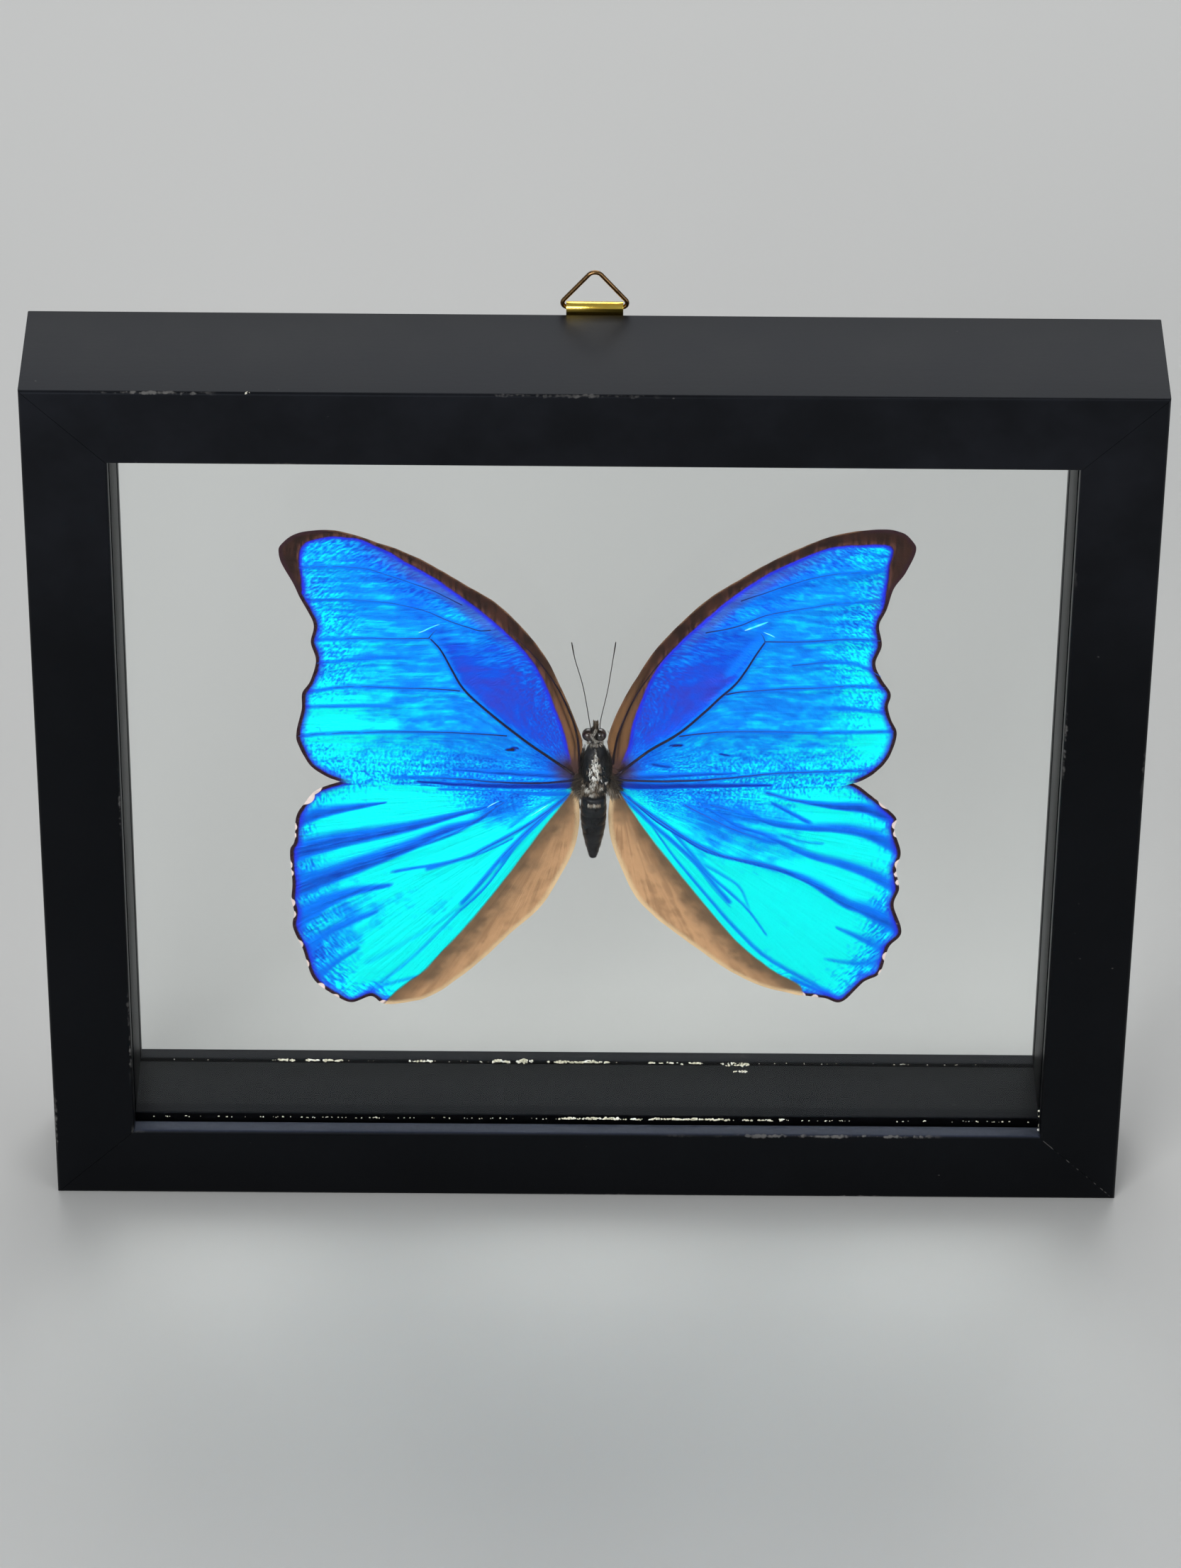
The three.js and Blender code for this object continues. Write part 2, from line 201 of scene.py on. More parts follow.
# Black satin paint; the grain runs along X or along Z.
def paintedWood(name, grain, reflection):
    material, shade = startMaterial(name)
    place = shade.place()
    x, y, z = (shade.node("SeparateXYZ", None, {0: place}, i) for i in range(3))
    width, depth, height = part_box("top_rail")[1]
    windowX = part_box("right_rail")[0].x
    windowZ = height / 2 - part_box("bottom_rail")[1].z
    middle = (z - height / 2).size()
    outside = (width - x.size()).least(height / 2 - middle)
    inside = (x.size() - windowX).most(middle - windowZ)
    front = (y + depth).size()
    along = (9, 260, 260) if grain == "X" else (260, 260, 9)
    fibres = shade.cloud(shade.stretch(place, along), 1, 5, 0.6)
    mottle = shade.cloud(place, 34, 4, 0.62)
    patches = shade.cloud(place, 21, 2)
    crumbs = shade.cloud(place, 900, 2)
    reach = (crumbs - 0.5) * 1.5 * mm + (shade.cloud(place, 260, 3) - 0.5) * 1.6 * mm
    rub = woodLook["rubWidth"]
    # paint rubbed off the front edges, specks of dust and chips along the mitres
    outerArris = (outside * outside + front * front) ** 0.5
    innerArris = (inside * inside + front * front) ** 0.5
    outerRub = (outerArris + reach).ease(rub, rub * 0.2) * patches.ease(0.58, 0.68)
    innerRub = (innerArris + reach).ease(rub, rub * 0.2) * patches.ease(0.56, 0.66)
    dust = shade.node("TexVoronoi", None, {"Vector": place, "Scale": 150.0})
    speck = dust.ease(0.05, 0.02) * crumbs.ease(0.5, 0.7)
    mitre = (width - x.size() - height / 2 + middle).size()
    mitreChips = (mitre + (crumbs - 0.5) * 0.5 * mm).ease(0.3 * mm, 0.1 * mm) * (z / height).ease(0.12, 0.08)
    mitreChips = mitreChips * crumbs.ease(0.5, 0.6) * (x / width).ease(-1, 0.5)
    mitreChips = mitreChips * front.ease(0.5 * mm, 0.1 * mm)
    rubbed = outerRub.most(innerRub).most(mitreChips)
    # pale lines along the top edge and along the lip of the bottom rail
    edgeLine = outerArris.ease(0.42 * mm, 0.12 * mm) * (x / width).ease(0.1, 0.5)
    edgeLine = edgeLine * (z / height).ease(0.97, 0.99)
    low = (z / height).ease(0.088, 0.085)
    lipLine = innerArris.ease(0.4 * mm, 0.1 * mm) * low
    # painted light: the upper face of the bottom lip is made lighter and bluer, as where it faces up to the
    # light
    lipTop = inside.ease(0.3 * mm, 0.1 * mm) * front.ease(4 * mm, 3.6 * mm) * low
    # painted shade: the faces between the panes, where little light reaches, are darkened
    shadeBetweenPanes = y.size().ease(12 * mm, 11.5 * mm) * outside.ease(15 * mm, 17 * mm)
    base = mottle.ease(0.3, 0.8).blend(woodLook["paint"], woodLook["faded"])
    # painted shade: the paint darkens below the top of the frame, so that the top stays lighter as if lit
    # from above
    base = ((z / height).ease(0.97, 0.55) * 0.88).most(shadeBetweenPanes).blend(base, woodLook["paintedShade"])
    base = (lipTop * (0.6 + crumbs * 0.5)).blend(base, woodLook["lip"])
    base = (edgeLine.most(lipLine) * (0.4 + crumbs * 0.8)).blend(base, woodLook["worn"])
    base = (rubbed * 0.75).most(speck * 0.35).blend(base, woodLook["primer"])
    relief = (fibres * 0.35 + crumbs * 0.2 + mottle * 0.3) * (1 - shadeBetweenPanes * 0.75) - rubbed * 0.5
    rough = woodLook["roughness"] + (mottle - 0.5) * 0.16 + rubbed * 0.2
    return endMaterial(material, surfaceOf(
        shade, Base_Color=base, Roughness=rough, Specular_IOR_Level=reflection,
        Specular_Tint=woodLook["sheen"], Normal=shade.bump(relief, 0.35, 0.25 * mm),
    ))


glassLook = {"tint": (0.985, 0.995, 0.99), "ior": 1.5, "reflection": 0.16, "specularTint": (0.08, 0.08, 0.08)}


# Clear sheet glass that lets lamp light through to what stands behind it.
def clearGlass():
    material, shade = startMaterial("clear_sheet_glass")
    smear = shade.cloud(shade.place(), 30, 3)
    glass = surfaceOf(
        shade, Base_Color=colour(glassLook["tint"]), Roughness=(smear - 0.5).most(0) * 0.03,
        IOR=glassLook["ior"], Transmission_Weight=1.0, Specular_IOR_Level=glassLook["reflection"],
        Specular_Tint=colour(glassLook["specularTint"]),
    )
    through = shade.node("BsdfTransparent", None, {0: colour(glassLook["tint"])})
    lamp = shade.node("LightPath", out=1)
    return endMaterial(material, shade.node("MixShader", None, {0: lamp, 1: glass, 2: through}))


def clearGlue():
    material, shade = startMaterial("clear_dried_glue")
    wave = shade.cloud(shade.place(), 700, 2)
    return endMaterial(material, surfaceOf(
        shade, Base_Color=colour((0.93, 0.92, 0.86)), Roughness=0.08 + wave * 0.1, IOR=1.49,
        Transmission_Weight=1.0, Normal=shade.bump(wave, 0.4, 0.2 * mm),
    ))


def metalFinish(name, bright, dull, roughness, brushed):
    material, shade = startMaterial(name)
    place = shade.place()
    lines = shade.cloud(shade.stretch(place, brushed), 1, 4, 0.6)
    stain = shade.cloud(place, 420, 4, 0.65)
    base = stain.ease(0.42, 0.78).blend(bright, dull)
    return endMaterial(material, surfaceOf(
        shade, Base_Color=base, Metallic=1.0, Roughness=roughness + (stain - 0.5) * 0.25,
        Normal=shade.bump(lines, 0.12, 0.05 * mm),
    ))


def flakeFinish():
    material, shade = startMaterial("paint_flakes")
    tint = shade.cloud(shade.place(), 500, 2).ramp([
        (0.3, (0.36, 0.34, 0.25)), (0.5, (0.62, 0.59, 0.47)), (0.7, (0.78, 0.78, 0.74)),
    ])
    return endMaterial(material, surfaceOf(shade, Base_Color=tint, Roughness=0.8))


wingColours = {
    "violet": (0.034, 0.050, 0.56),
    "deep": (0.002, 0.085, 0.76),
    "azure": (0.0, 0.30, 1.0),
    "cyan": (0.0, 1.0, 1.0),
    "streakBlue": (0.0, 0.19, 0.95),
    "darkBlue": (0.003, 0.035, 0.42),
    "darkRim": (0.030, 0.012, 0.016),
    "rimBlue": (0.02, 0.03, 0.75),
    "dusk": (0.054, 0.105, 0.42),
    "root": (0.062, 0.032, 0.030),
    "costa": (0.020, 0.010, 0.008),
    "costaRed": (0.050, 0.020, 0.014),
    "costaPink": (0.16, 0.065, 0.05),
    "costaEdge": (0.19, 0.10, 0.055),
    "costaTan": (0.17, 0.085, 0.036),
    # painted shade in the gutter of the tan fold
    "foldGutterShade": (0.135, 0.085, 0.05),
    "foldTan": (0.50, 0.285, 0.15),
    # painted shade patches and a painted edge highlight on the tan fold
    "foldShade": (0.21, 0.115, 0.06),
    "foldEdgeHighlight": (0.62, 0.44, 0.26),
    "fringe": (0.86, 0.70, 0.66),
}


# The upper side: structural blue inside brown and black borders, from distances kept on the wing.
def wingTop(name, raying):
    tints = wingColours
    material, shade = startMaterial(name)
    place = shade.place()
    fan = shade.node("UVMap", {"uv_map": "fan"})
    rays = shade.cloud(shade.stretch(fan, (95, 4.5, 1)), 1, 5, 0.62)
    wideRays = shade.cloud(shade.stretch(fan, (22, 2.2, 1)), 1, 3, 0.5)
    ripples = shade.cloud(shade.stretch(fan, (34, 90, 1)), 1, 4, 0.6)
    flecks = shade.cloud(shade.stretch(fan, (17, 13, 1)), 1, 4, 0.58)
    grain = shade.cloud(shade.stretch(place, (1300, 1300, 170)), 1, 3, 0.6)
    grit = shade.cloud(place, 2600, 2, 0.7)
    blotch = shade.cloud(place, 160, 3, 0.6)
    rim = shade.reading("rim")
    tone = shade.reading("tone")
    spread = shade.reading("spread")
    # rays, ripples and flecks make the blue lighter and darker
    lively = tone.ease(0.1, 0.5) * (0.25 + spread.ease(6, 34) * 0.75)
    tone = tone + ((wideRays - 0.5) * 0.45 + (rays - 0.5) * 0.34) * lively * raying + (blotch - 0.5) * 0.34
    tone = tone + (ripples - 0.5) * 0.25 + (ripples.ease(0.38, 0.62) - 0.5) * rim.ease(15, 3) * 0.36
    tone = tone + (flecks - 0.5) * (0.92 - raying * 0.17) * (0.8 + lively * 0.2)
    # the blue runs from violet to cyan by place; the lighter cyan is partly the wing's own colour and partly
    # its iridescent sheen, painted in where it shines most
    blue = tone.ramp([
        (0.0, tints["violet"]), (0.3, tints["deep"]), (0.62, tints["azure"]), (0.95, tints["cyan"]),
    ])
    # painted shade beside the veins and folds and along the forewing's lower edge, with a few real dark
    # spots, darkens the blue
    streak = shade.reading("streak") * (0.5 + rays * 0.6 + flecks * 0.4)
    blue = streak.ease(0.05, 0.7).blend(blue, tints["streakBlue"])
    blue = streak.ease(0.62, 1.15).blend(blue, tints["darkBlue"])
    blue = streak.ease(1.3, 1.9).blend(blue, tints["darkRim"])
    blue = (grit.ease(0.60, 0.74) * 0.22).blend(blue, tints["darkBlue"])
    # brown border along the leading edge
    ragged = (grit - 0.5) * 0.5 + (blotch - 0.5) * 0.9
    border = shade.reading("border") + ragged * 0.7
    warm = shade.reading("warm") * (0.6 + grain * 0.6)
    brown = (grain + blotch - 0.5).ease(0.35, 0.75).blend(tints["costa"], tints["costaRed"])
    brown = warm.blend(brown, tints["costaTan"])
    inner = border.ease(1.5, 0.5) * border.ease(0.1, 0.4) * grain.ease(0.4, 0.6)
    brown = (inner * 0.5).blend(brown, tints["costaPink"])
    brown = (rim.ease(0.4, 0.2) * blotch.ease(0.35, 0.55) * 0.7).blend(brown, tints["costaEdge"])
    dusk = border.ease(-4.2, -1.6) * spread.ease(84, 58) * spread.ease(32, 48)
    blue = (dusk * (0.45 + flecks * 0.6)).blend(blue, tints["dusk"])
    blue = border.ease(-1.3, -0.1).blend(blue, tints["rimBlue"])
    base = border.ease(-0.25, 0.35).blend(blue, brown)
    # dark outer margin with pale fringe between the veins
    margin = shade.reading("margin")
    edge = rim + ragged * 0.7
    blueness = 1 - border.ease(-0.25, 0.35)
    base = (edge.ease(2.6, 1.0) * margin * blueness * 0.9).blend(base, tints["rimBlue"])
    base = (edge.ease(1.2, 0.6) * margin).blend(base, tints["darkRim"])
    base = (shade.reading("fringe") - rim * 0.9).ease(0.0, 0.25).blend(base, tints["fringe"])
    rooted = (spread + (blotch - 0.5) * 4).ease(6.5, 0.5) * shade.reading("fold").ease(-20, -40)
    base = rooted.blend(base, tints["root"])
    # tan fold beside the body, with painted shade in the gutter along the fold line and in soft patches, and
    # a painted highlight along its outer edge
    fold = shade.reading("fold") + (rays - 0.5) * 0.5
    tan = (fold + (blotch - 0.5) * 9).ease(0.5, 6.5).blend(tints["foldGutterShade"], tints["foldTan"])
    tan = ((wideRays + blotch - 0.5).ease(0.42, 0.72) * 0.55).blend(tan, tints["foldShade"])
    tan = (rim + (grit - 0.5)).ease(1.6, 0.3).blend(tan, tints["foldEdgeHighlight"])
    foldMask = fold.ease(-0.3, 0.3)
    base = foldMask.blend(base, tan)
    blueness = (1 - foldMask) * blueness
    ribs = (rays * 0.6 + wideRays * 1.2) * (0.2 + lively * 0.8) * (0.3 + raying * 0.7)
    relief = ribs + ripples * 0.45 + grit * 0.2
    return endMaterial(material, surfaceOf(
        shade, Base_Color=base, Metallic=blueness * 0.35, Roughness=0.62 - blueness * 0.2,
        Specular_IOR_Level=0.05, Normal=shade.bump(relief * (0.3 + blueness * 0.7), 0.85, 0.5 * mm),
    ))


undersideLook = {
    "ground": (0.105, 0.062, 0.036),
    "dark": (0.034, 0.019, 0.012),
    "band": (0.34, 0.26, 0.165),
    "rust": (0.27, 0.085, 0.03),
    "ring": (0.55, 0.40, 0.10),
    "pupil": (0.75, 0.74, 0.7),
}


# The underside: brown, with pale bands along the margin and ringed eyespots.
def wingUnderside():
    look = undersideLook
    material, shade = startMaterial("wing_underside")
    place = shade.place()
    fan = shade.node("UVMap", {"uv_map": "fan"})
    rays = shade.cloud(shade.stretch(fan, (90, 3, 1)), 1, 4, 0.6)
    blotch = shade.cloud(place, 90, 4, 0.6)
    grit = shade.cloud(place, 2400, 2, 0.7)
    rim = shade.reading("rim") + (blotch - 0.5) * 1.6
    margin = shade.reading("margin")
    base = (blotch + (rays - 0.5) * 0.7).ease(0.3, 0.75).blend(look["dark"], look["ground"])
    base = (rim.ease(4.6, 5.0) * rim.ease(6.6, 6.1) * margin).blend(base, look["band"])
    base = (rim.ease(2.6, 2.9) * rim.ease(3.7, 3.4) * margin).blend(base, look["rust"])
    base = (rim.ease(0.8, 1.0) * rim.ease(2.0, 1.8) * margin * 0.7).blend(base, look["band"])
    spot = shade.reading("eyespot") + (grit - 0.5) * 0.06
    base = spot.ease(1.3, 1.2).blend(base, look["dark"])
    base = spot.ease(1.03, 0.97).blend(base, look["ring"])
    base = spot.ease(0.76, 0.7).blend(base, look["rust"])
    base = spot.ease(0.62, 0.56).blend(base, (0.008, 0.006, 0.008))
    base = spot.ease(0.24, 0.16).blend(base, look["pupil"])
    fold = shade.reading("fold")
    base = fold.ease(-1, 6).blend(base, wingColours["foldTan"])
    return endMaterial(material, surfaceOf(
        shade, Base_Color=base, Roughness=0.75, Specular_IOR_Level=0.25,
        Normal=shade.bump(rays * 0.6 + grit * 0.3, 0.4, 0.2 * mm),
    ))


# Veins are near black at the root and take the blue of the wing towards the margin.
def veinFinish():
    material, shade = startMaterial("wing_veins")
    ageing = shade.reading("out") + (shade.cloud(shade.place(), 300, 2) - 0.5) * 0.3
    tint = ageing.ramp([
        (0.0, (0.015, 0.007, 0.008)), (0.35, (0.010, 0.010, 0.075)), (1.0, (0.002, 0.09, 0.50)),
    ])
    return endMaterial(material, surfaceOf(shade, Base_Color=tint, Roughness=0.5, Specular_IOR_Level=0.2))


# Painted glints: the crease rods are pale cyan to stand for light caught along the folds.
def creaseFinish():
    material, shade = startMaterial("wing_creases")
    tint = shade.cloud(shade.place(), 400, 3).ease(0.3, 0.7).blend((0.02, 0.75, 1.0), (0.42, 0.97, 1.0))
    return endMaterial(material, surfaceOf(shade, Base_Color=tint, Roughness=0.4, Specular_IOR_Level=0.2))


def chitinFinish(name, dark, light, roughness):
    material, shade = startMaterial(name)
    place = shade.place()
    pores = shade.cloud(place, 1500, 3, 0.6)
    patches = shade.cloud(place, 420, 3, 0.6)
    base = patches.ease(0.42, 0.75).blend(dark, light)
    return endMaterial(material, surfaceOf(
        shade, Base_Color=base, Roughness=roughness + (patches - 0.5) * 0.3, Specular_IOR_Level=0.25,
        Normal=shade.bump(pores, 0.5, 0.12 * mm),
    ))


def eyeFinish():
    material, shade = startMaterial("compound_eye")
    place = shade.place()
    facets = shade.node("TexVoronoi", None, {"Vector": place, "Scale": 7000.0})
    base = shade.cloud(place, 500, 2).ease(0.35, 0.7).blend((0.004, 0.002, 0.001), (0.018, 0.006, 0.004))
    return endMaterial(material, surfaceOf(
        shade, Base_Color=base, Roughness=0.16, Coat_Weight=0.6,
        Normal=shade.bump(facets, 0.12, 0.03 * mm),
    ))


# Hair takes its shade from the tuft it grew in: black, brown, tan, grey, white.
def hairFinish():
    material, shade = startMaterial("body_hair")
    tint = shade.reading("hairShade").ramp([
        (0.0, (0.004, 0.004, 0.005)), (0.25, (0.028, 0.019, 0.013)), (0.5, (0.17, 0.115, 0.07)),
        (0.75, (0.30, 0.27, 0.23)), (1.0, (0.78, 0.76, 0.72)),
    ])
    return endMaterial(material, surfaceOf(shade, Base_Color=tint, Roughness=0.55, Specular_IOR_Level=0.4))


def placePiece(name, bm, materials, replaced=(), body=holderBody, sharp=None):
    mesh = bpy.data.meshes.new(name)
    bm.to_mesh(mesh)
    bm.free()
    for material in materials:
        mesh.materials.append(material)
    mesh.shade_smooth()
    if sharp is not None:
        mesh.set_sharp_from_angle(angle=math.radians(sharp))
    piece = bpy.data.objects.new(name, mesh)
    bpy.context.scene.collection.objects.link(piece)
    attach(piece, body)
    if replaced:
        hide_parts(*replaced)
    return piece


# Points of an even curve through the given ones, in any number of dimensions.
def roundRoute(points, steps, closed=False):
    points = numpy.array(points, float)
    count = len(points)
    spans = count if closed else count - 1
    share = numpy.linspace(0, spans, steps, endpoint=not closed)
    first = numpy.minimum(share.astype(int), spans - 1)
    t = (share - first)[:, None]

    def at(shift):
        index = first + shift
        return points[index % count if closed else numpy.clip(index, 0, count - 1)]

    before, start, end, after = at(-1), at(0), at(1), at(2)
    bend = 2 * before - 5 * start + 4 * end - after
    twist = 3 * (start - end) + after - before
    return start + 0.5 * t * (end - before + t * (bend + t * twist))


# The same curve with its points at even distances.
def evenRoute(points, steps, closed=False):
    fineSteps = 2400
    fine = roundRoute(points, fineSteps, closed)
    if closed:
        fine = numpy.vstack([fine, fine[:1]])
    walked = numpy.concatenate([[0], numpy.cumsum(numpy.linalg.norm(numpy.diff(fine, axis=0), axis=1))])
    stops = numpy.linspace(0, walked[-1], steps, endpoint=not closed)
    return numpy.stack([numpy.interp(stops, walked, fine[:, i]) for i in range(fine.shape[1])], 1)


# Distance from each place to a route, how far along the route that is, and on which side.
def nearest(places, route):
    start = route[:-1]
    run = route[1:] - start
    length = numpy.linalg.norm(run, axis=1)
    walked = numpy.concatenate([[0], numpy.cumsum(length)])
    found = []
    groupSize = 3000  # keeps the arrays small
    for group in numpy.array_split(places, max(1, len(places) // groupSize)):
        gap = group[:, None, :] - start[None]
        t = numpy.clip((gap * run).sum(2) / length**2, 0, 1)
        offset = gap - t[..., None] * run
        distance = numpy.linalg.norm(offset, axis=2)
        best = distance.argmin(1)
        row = numpy.arange(len(group))
        side = (run[best, 0] * gap[row, best, 1] - run[best, 1] * gap[row, best, 0]) / length[best]
        share = (walked[best] + t[row, best] * length[best]) / walked[-1]
        found.append(numpy.stack([distance[row, best], share, side], 1))
    return numpy.vstack(found).T


def turnOutward(bm):
    bmesh.ops.recalc_face_normals(bm, faces=bm.faces)


def easeArray(values, low, high):
    t = numpy.clip((values - low) / (high - low), 0, 1)
    return t * t * (3 - 2 * t)


# A round rod: its end face is pushed from point to point.
def addRod(bm, route, radii, sides=6):
    route = [Vector(p) for p in route]
    ahead = (route[1] - route[0]).normalized()
    start = Matrix.Translation(route[0]) @ ahead.to_track_quat("Z", "Y").to_matrix().to_4x4()
    circle = bmesh.ops.create_circle(bm, cap_ends=True, segments=sides, radius=radii[0], matrix=start)
    cap = circle["verts"][0].link_faces[0]
    made = list(circle["verts"])
    for i in range(1, len(route)):
        toward = (route[min(i + 1, len(route) - 1)] - route[i - 1]).normalized()
        turn = ahead.rotation_difference(toward).to_matrix().to_4x4()
        pushed = bmesh.ops.extrude_face_region(bm, geom=[cap], use_keep_orig=(i == 1))["geom"]
        fresh = [part for part in pushed if isinstance(part, bmesh.types.BMVert)]
        cap = next(part for part in pushed if isinstance(part, bmesh.types.BMFace))
        grow = Matrix.Scale(radii[i] / radii[i - 1], 4)
        move = Matrix.Translation(route[i]) @ turn @ grow @ Matrix.Translation(-route[i - 1])
        bmesh.ops.transform(bm, matrix=move, verts=fresh)
        made += fresh
        ahead = toward
    return made


# A turned form about an upright axis, from pairs of radius and height.
def addTurned(bm, profile, centre, sides):
    verts = [bm.verts.new((radius, 0, height)) for radius, height in profile]
    edges = [bm.edges.new(pair) for pair in zip(verts, verts[1:])]
    before = set(bm.verts) - set(verts)
    bmesh.ops.spin(
        bm, geom=verts + edges, cent=(0, 0, 0), axis=(0, 0, 1),
        angle=2 * math.pi, steps=sides, use_merge=True,
    )
    made = [vert for vert in bm.verts if vert not in before]
    bmesh.ops.translate(bm, vec=centre, verts=made)
    bmesh.ops.remove_doubles(bm, verts=bm.verts, dist=1e-6)
    turnOutward(bm)


# Lays a turned form down, so that its axis runs to the back.
def layBack(bm, place):
    lay = Matrix.Translation(place) @ Matrix.Rotation(-math.pi / 2, 4, "X")
    bmesh.ops.transform(bm, matrix=lay, verts=bm.verts)
    turnOutward(bm)


strips = {
    "arris": 0.28 * mm,
    "segments": 3,
    "longEdge": 0.1,  # edges longer than this are softened
    "corner": 0.3,  # where they also turn by more than this angle
    "groups": [  # nodes, name of their paint, how much it reflects
        ("{}_rail", "{}_paint", 0.115),
        ("spacer_{}", "spacer_{}", 0.05),
        ("rear_stop_{}", "rear_stop_{}", 0.09),
    ],
}


# A wooden strip of the frame with its long edges softened.
def makeStrip(node, material):
    bm = bmesh.new()
    bm.from_mesh(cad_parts[node].data)
    bmesh.ops.remove_doubles(bm, verts=bm.verts, dist=1e-6)
    bmesh.ops.dissolve_limit(bm, angle_limit=math.radians(1), verts=bm.verts, edges=bm.edges)
    longest = [edge for edge in bm.edges if edge.calc_length() > strips["longEdge"]]
    longEdges = [edge for edge in longest if edge.is_manifold and edge.calc_face_angle() > strips["corner"]]
    bmesh.ops.bevel(
        bm, geom=longEdges, offset=strips["arris"], segments=strips["segments"],
        profile=0.5, affect="EDGES", material=-1, clamp_overlap=True,
    )
    placePiece(node + "_painted", bm, [material], [node], sharp=35)


def makeFrame():
    for nodes, paint, reflection in strips["groups"]:
        for grain, run, sides in (("X", "across", ("top", "bottom")), ("Z", "upright", ("left", "right"))):
            material = paintedWood(paint.format(run), grain, reflection)
            for side in sides:
                makeStrip(nodes.format(side), material)
    glass = clearGlass()
    for pane in ("front_glass", "rear_glass"):
        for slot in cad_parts[pane].material_slots:
            slot.material = glass
    print("frame made")


flakes = {
    "ledges": [  # from x, to x, y, how high they pile up, how many, size
        (-74.5, -70, 10.8, 0.5, 36, 0.5), (-68, -59, 10.8, 0.5, 60, 0.5), (-43, -37.5, 10.8, 0.4, 34, 0.5),
        (-23, -13, 10.8, 0.8, 110, 0.6), (-10, 5, 10.8, 0.7, 130, 0.55), (15, 39, 10.7, 0.5, 190, 0.5),
        (33, 39, 9.9, 0.3, 34, 0.4), (35, 38.6, 7.6, 0.1, 20, 0.35), (-100, 100, 10.9, 0.2, 120, 0.25),
        (-7, 47, -11.7, 0.6, 420, 0.5), (-104, 106, -11.8, 0.3, 330, 0.3),
    ],
    "ledge": 19.8,  # height of the frame's inner ledge
    "chips": [  # place and size
        (-76.6, -16.4, 227.8, 0.7), (-76, -16.4, 227.8, 0.5), (108.2, -13.2, 19.6, 0.8),
        (107.9, -14.6, 19.5, 0.7), (108.3, -10.6, 21.2, 0.7), (108.2, -9.8, 22.3, 0.7),
    ],
}


# Crumbs of dried paint and filler that sit along the glass.
def makeFlakes():
    bm = bmesh.new()
    places = []
    for low, high, y, pile, count, size in flakes["ledges"]:
        for _ in range(count):
            x = random.uniform(low, high)
            clump = 0.5 + noise.noise((x * 0.35, y, 3))
            if random.random() < clump:
                z = flakes["ledge"] + pile * clump * random.random()
                places.append((x, y + random.gauss(0, 0.15), z, size * random.uniform(0.5, 1.3)))
    places += flakes["chips"]
    for x, y, z, size in places:
        turn = Matrix.Rotation(random.uniform(0, math.pi), 4, "Z")
        turn = turn @ Matrix.Rotation(random.gauss(0, 0.4), 4, "X")
        squeeze = Matrix.Diagonal((random.uniform(1, 2.2), 1, 1, 1))
        bmesh.ops.create_cone(
            bm, cap_ends=True, segments=5, radius1=size * 0.5 * mm, radius2=size * 0.3 * mm,
            depth=size * 0.5 * mm, matrix=Matrix.Translation(Vector((x, y, z)) * mm) @ turn @ squeeze,
        )
    placePiece("paint_flakes", bm, [flakeFinish()], sharp=30)
    print("flakes made:", len(places))


hanger = {
    "axis": Vector((0, 18.4, 228.9)) * mm,
    "wire": 0.5 * mm,
    "height": 9.1 * mm,
    "halfWidth": 7.25 * mm,
    "cornerRadius": 1.15 * mm,
    "apexRadius": 1.9 * mm,
    "endGap": 0.4 * mm,
    "arcSteps": 14,
    "strapWidth": 12.8 * mm,
    "loop": 1.3 * mm,
    "bore": 0.75 * mm,
    "plate": 1.1 * mm,
    "drop": 12.5 * mm,
    "slit": 0.02 * mm,  # half its width
    "edge": 0.07 * mm,
    "nailHead": 0.7 * mm,
    "nailRim": [(0, 0), (0.45, 0.01), (0.97, 0.05), (1, 0.2)],  # share of the head's radius, height
    "nailDome": (0.25 * mm, 0.42 * mm),  # height of its foot and its rise
    "nailTop": 0.67 * mm,
}


def arc(centre, radius, start, end, steps):
    angles = numpy.linspace(start, end, steps)
    return [(centre[0] + radius * math.cos(a), centre[1] + radius * math.sin(a)) for a in angles]


# The wire's route as (x, height above the axis).
def ringRoute():
    corner, top, gap, steps = (hanger[key] for key in ("cornerRadius", "apexRadius", "endGap", "arcSteps"))
    cornerX = hanger["halfWidth"] - corner
    apex = hanger["height"] - top
    rise = apex - corner
    lean = math.atan2(rise, -cornerX)
    tangent = lean - math.acos((corner - top) / math.hypot(cornerX, rise))
    route = [(gap, 0)]
    route += arc((cornerX, corner), corner, -math.pi / 2, tangent, steps)
    route += arc((0, apex), top, tangent, math.pi - tangent, steps)
    route += arc((-cornerX, corner), corner, math.pi - tangent, 1.5 * math.pi, steps)
    return route + [(-gap, 0)]


def makeRing():
    bm = bmesh.new()
    route = [hanger["axis"] + Vector((x, 0, z)) for x, z in ringRoute()]
    addRod(bm, route, [hanger["wire"]] * len(route), 20)
    turnOutward(bm)
    wire = metalFinish("brassed_wire", (0.26, 0.15, 0.065), (0.07, 0.042, 0.025), 0.26, (900, 900, 900))
    placePiece("hanging_ring_wire", bm, [wire], ["hanger_ring"], ringBody, sharp=40)


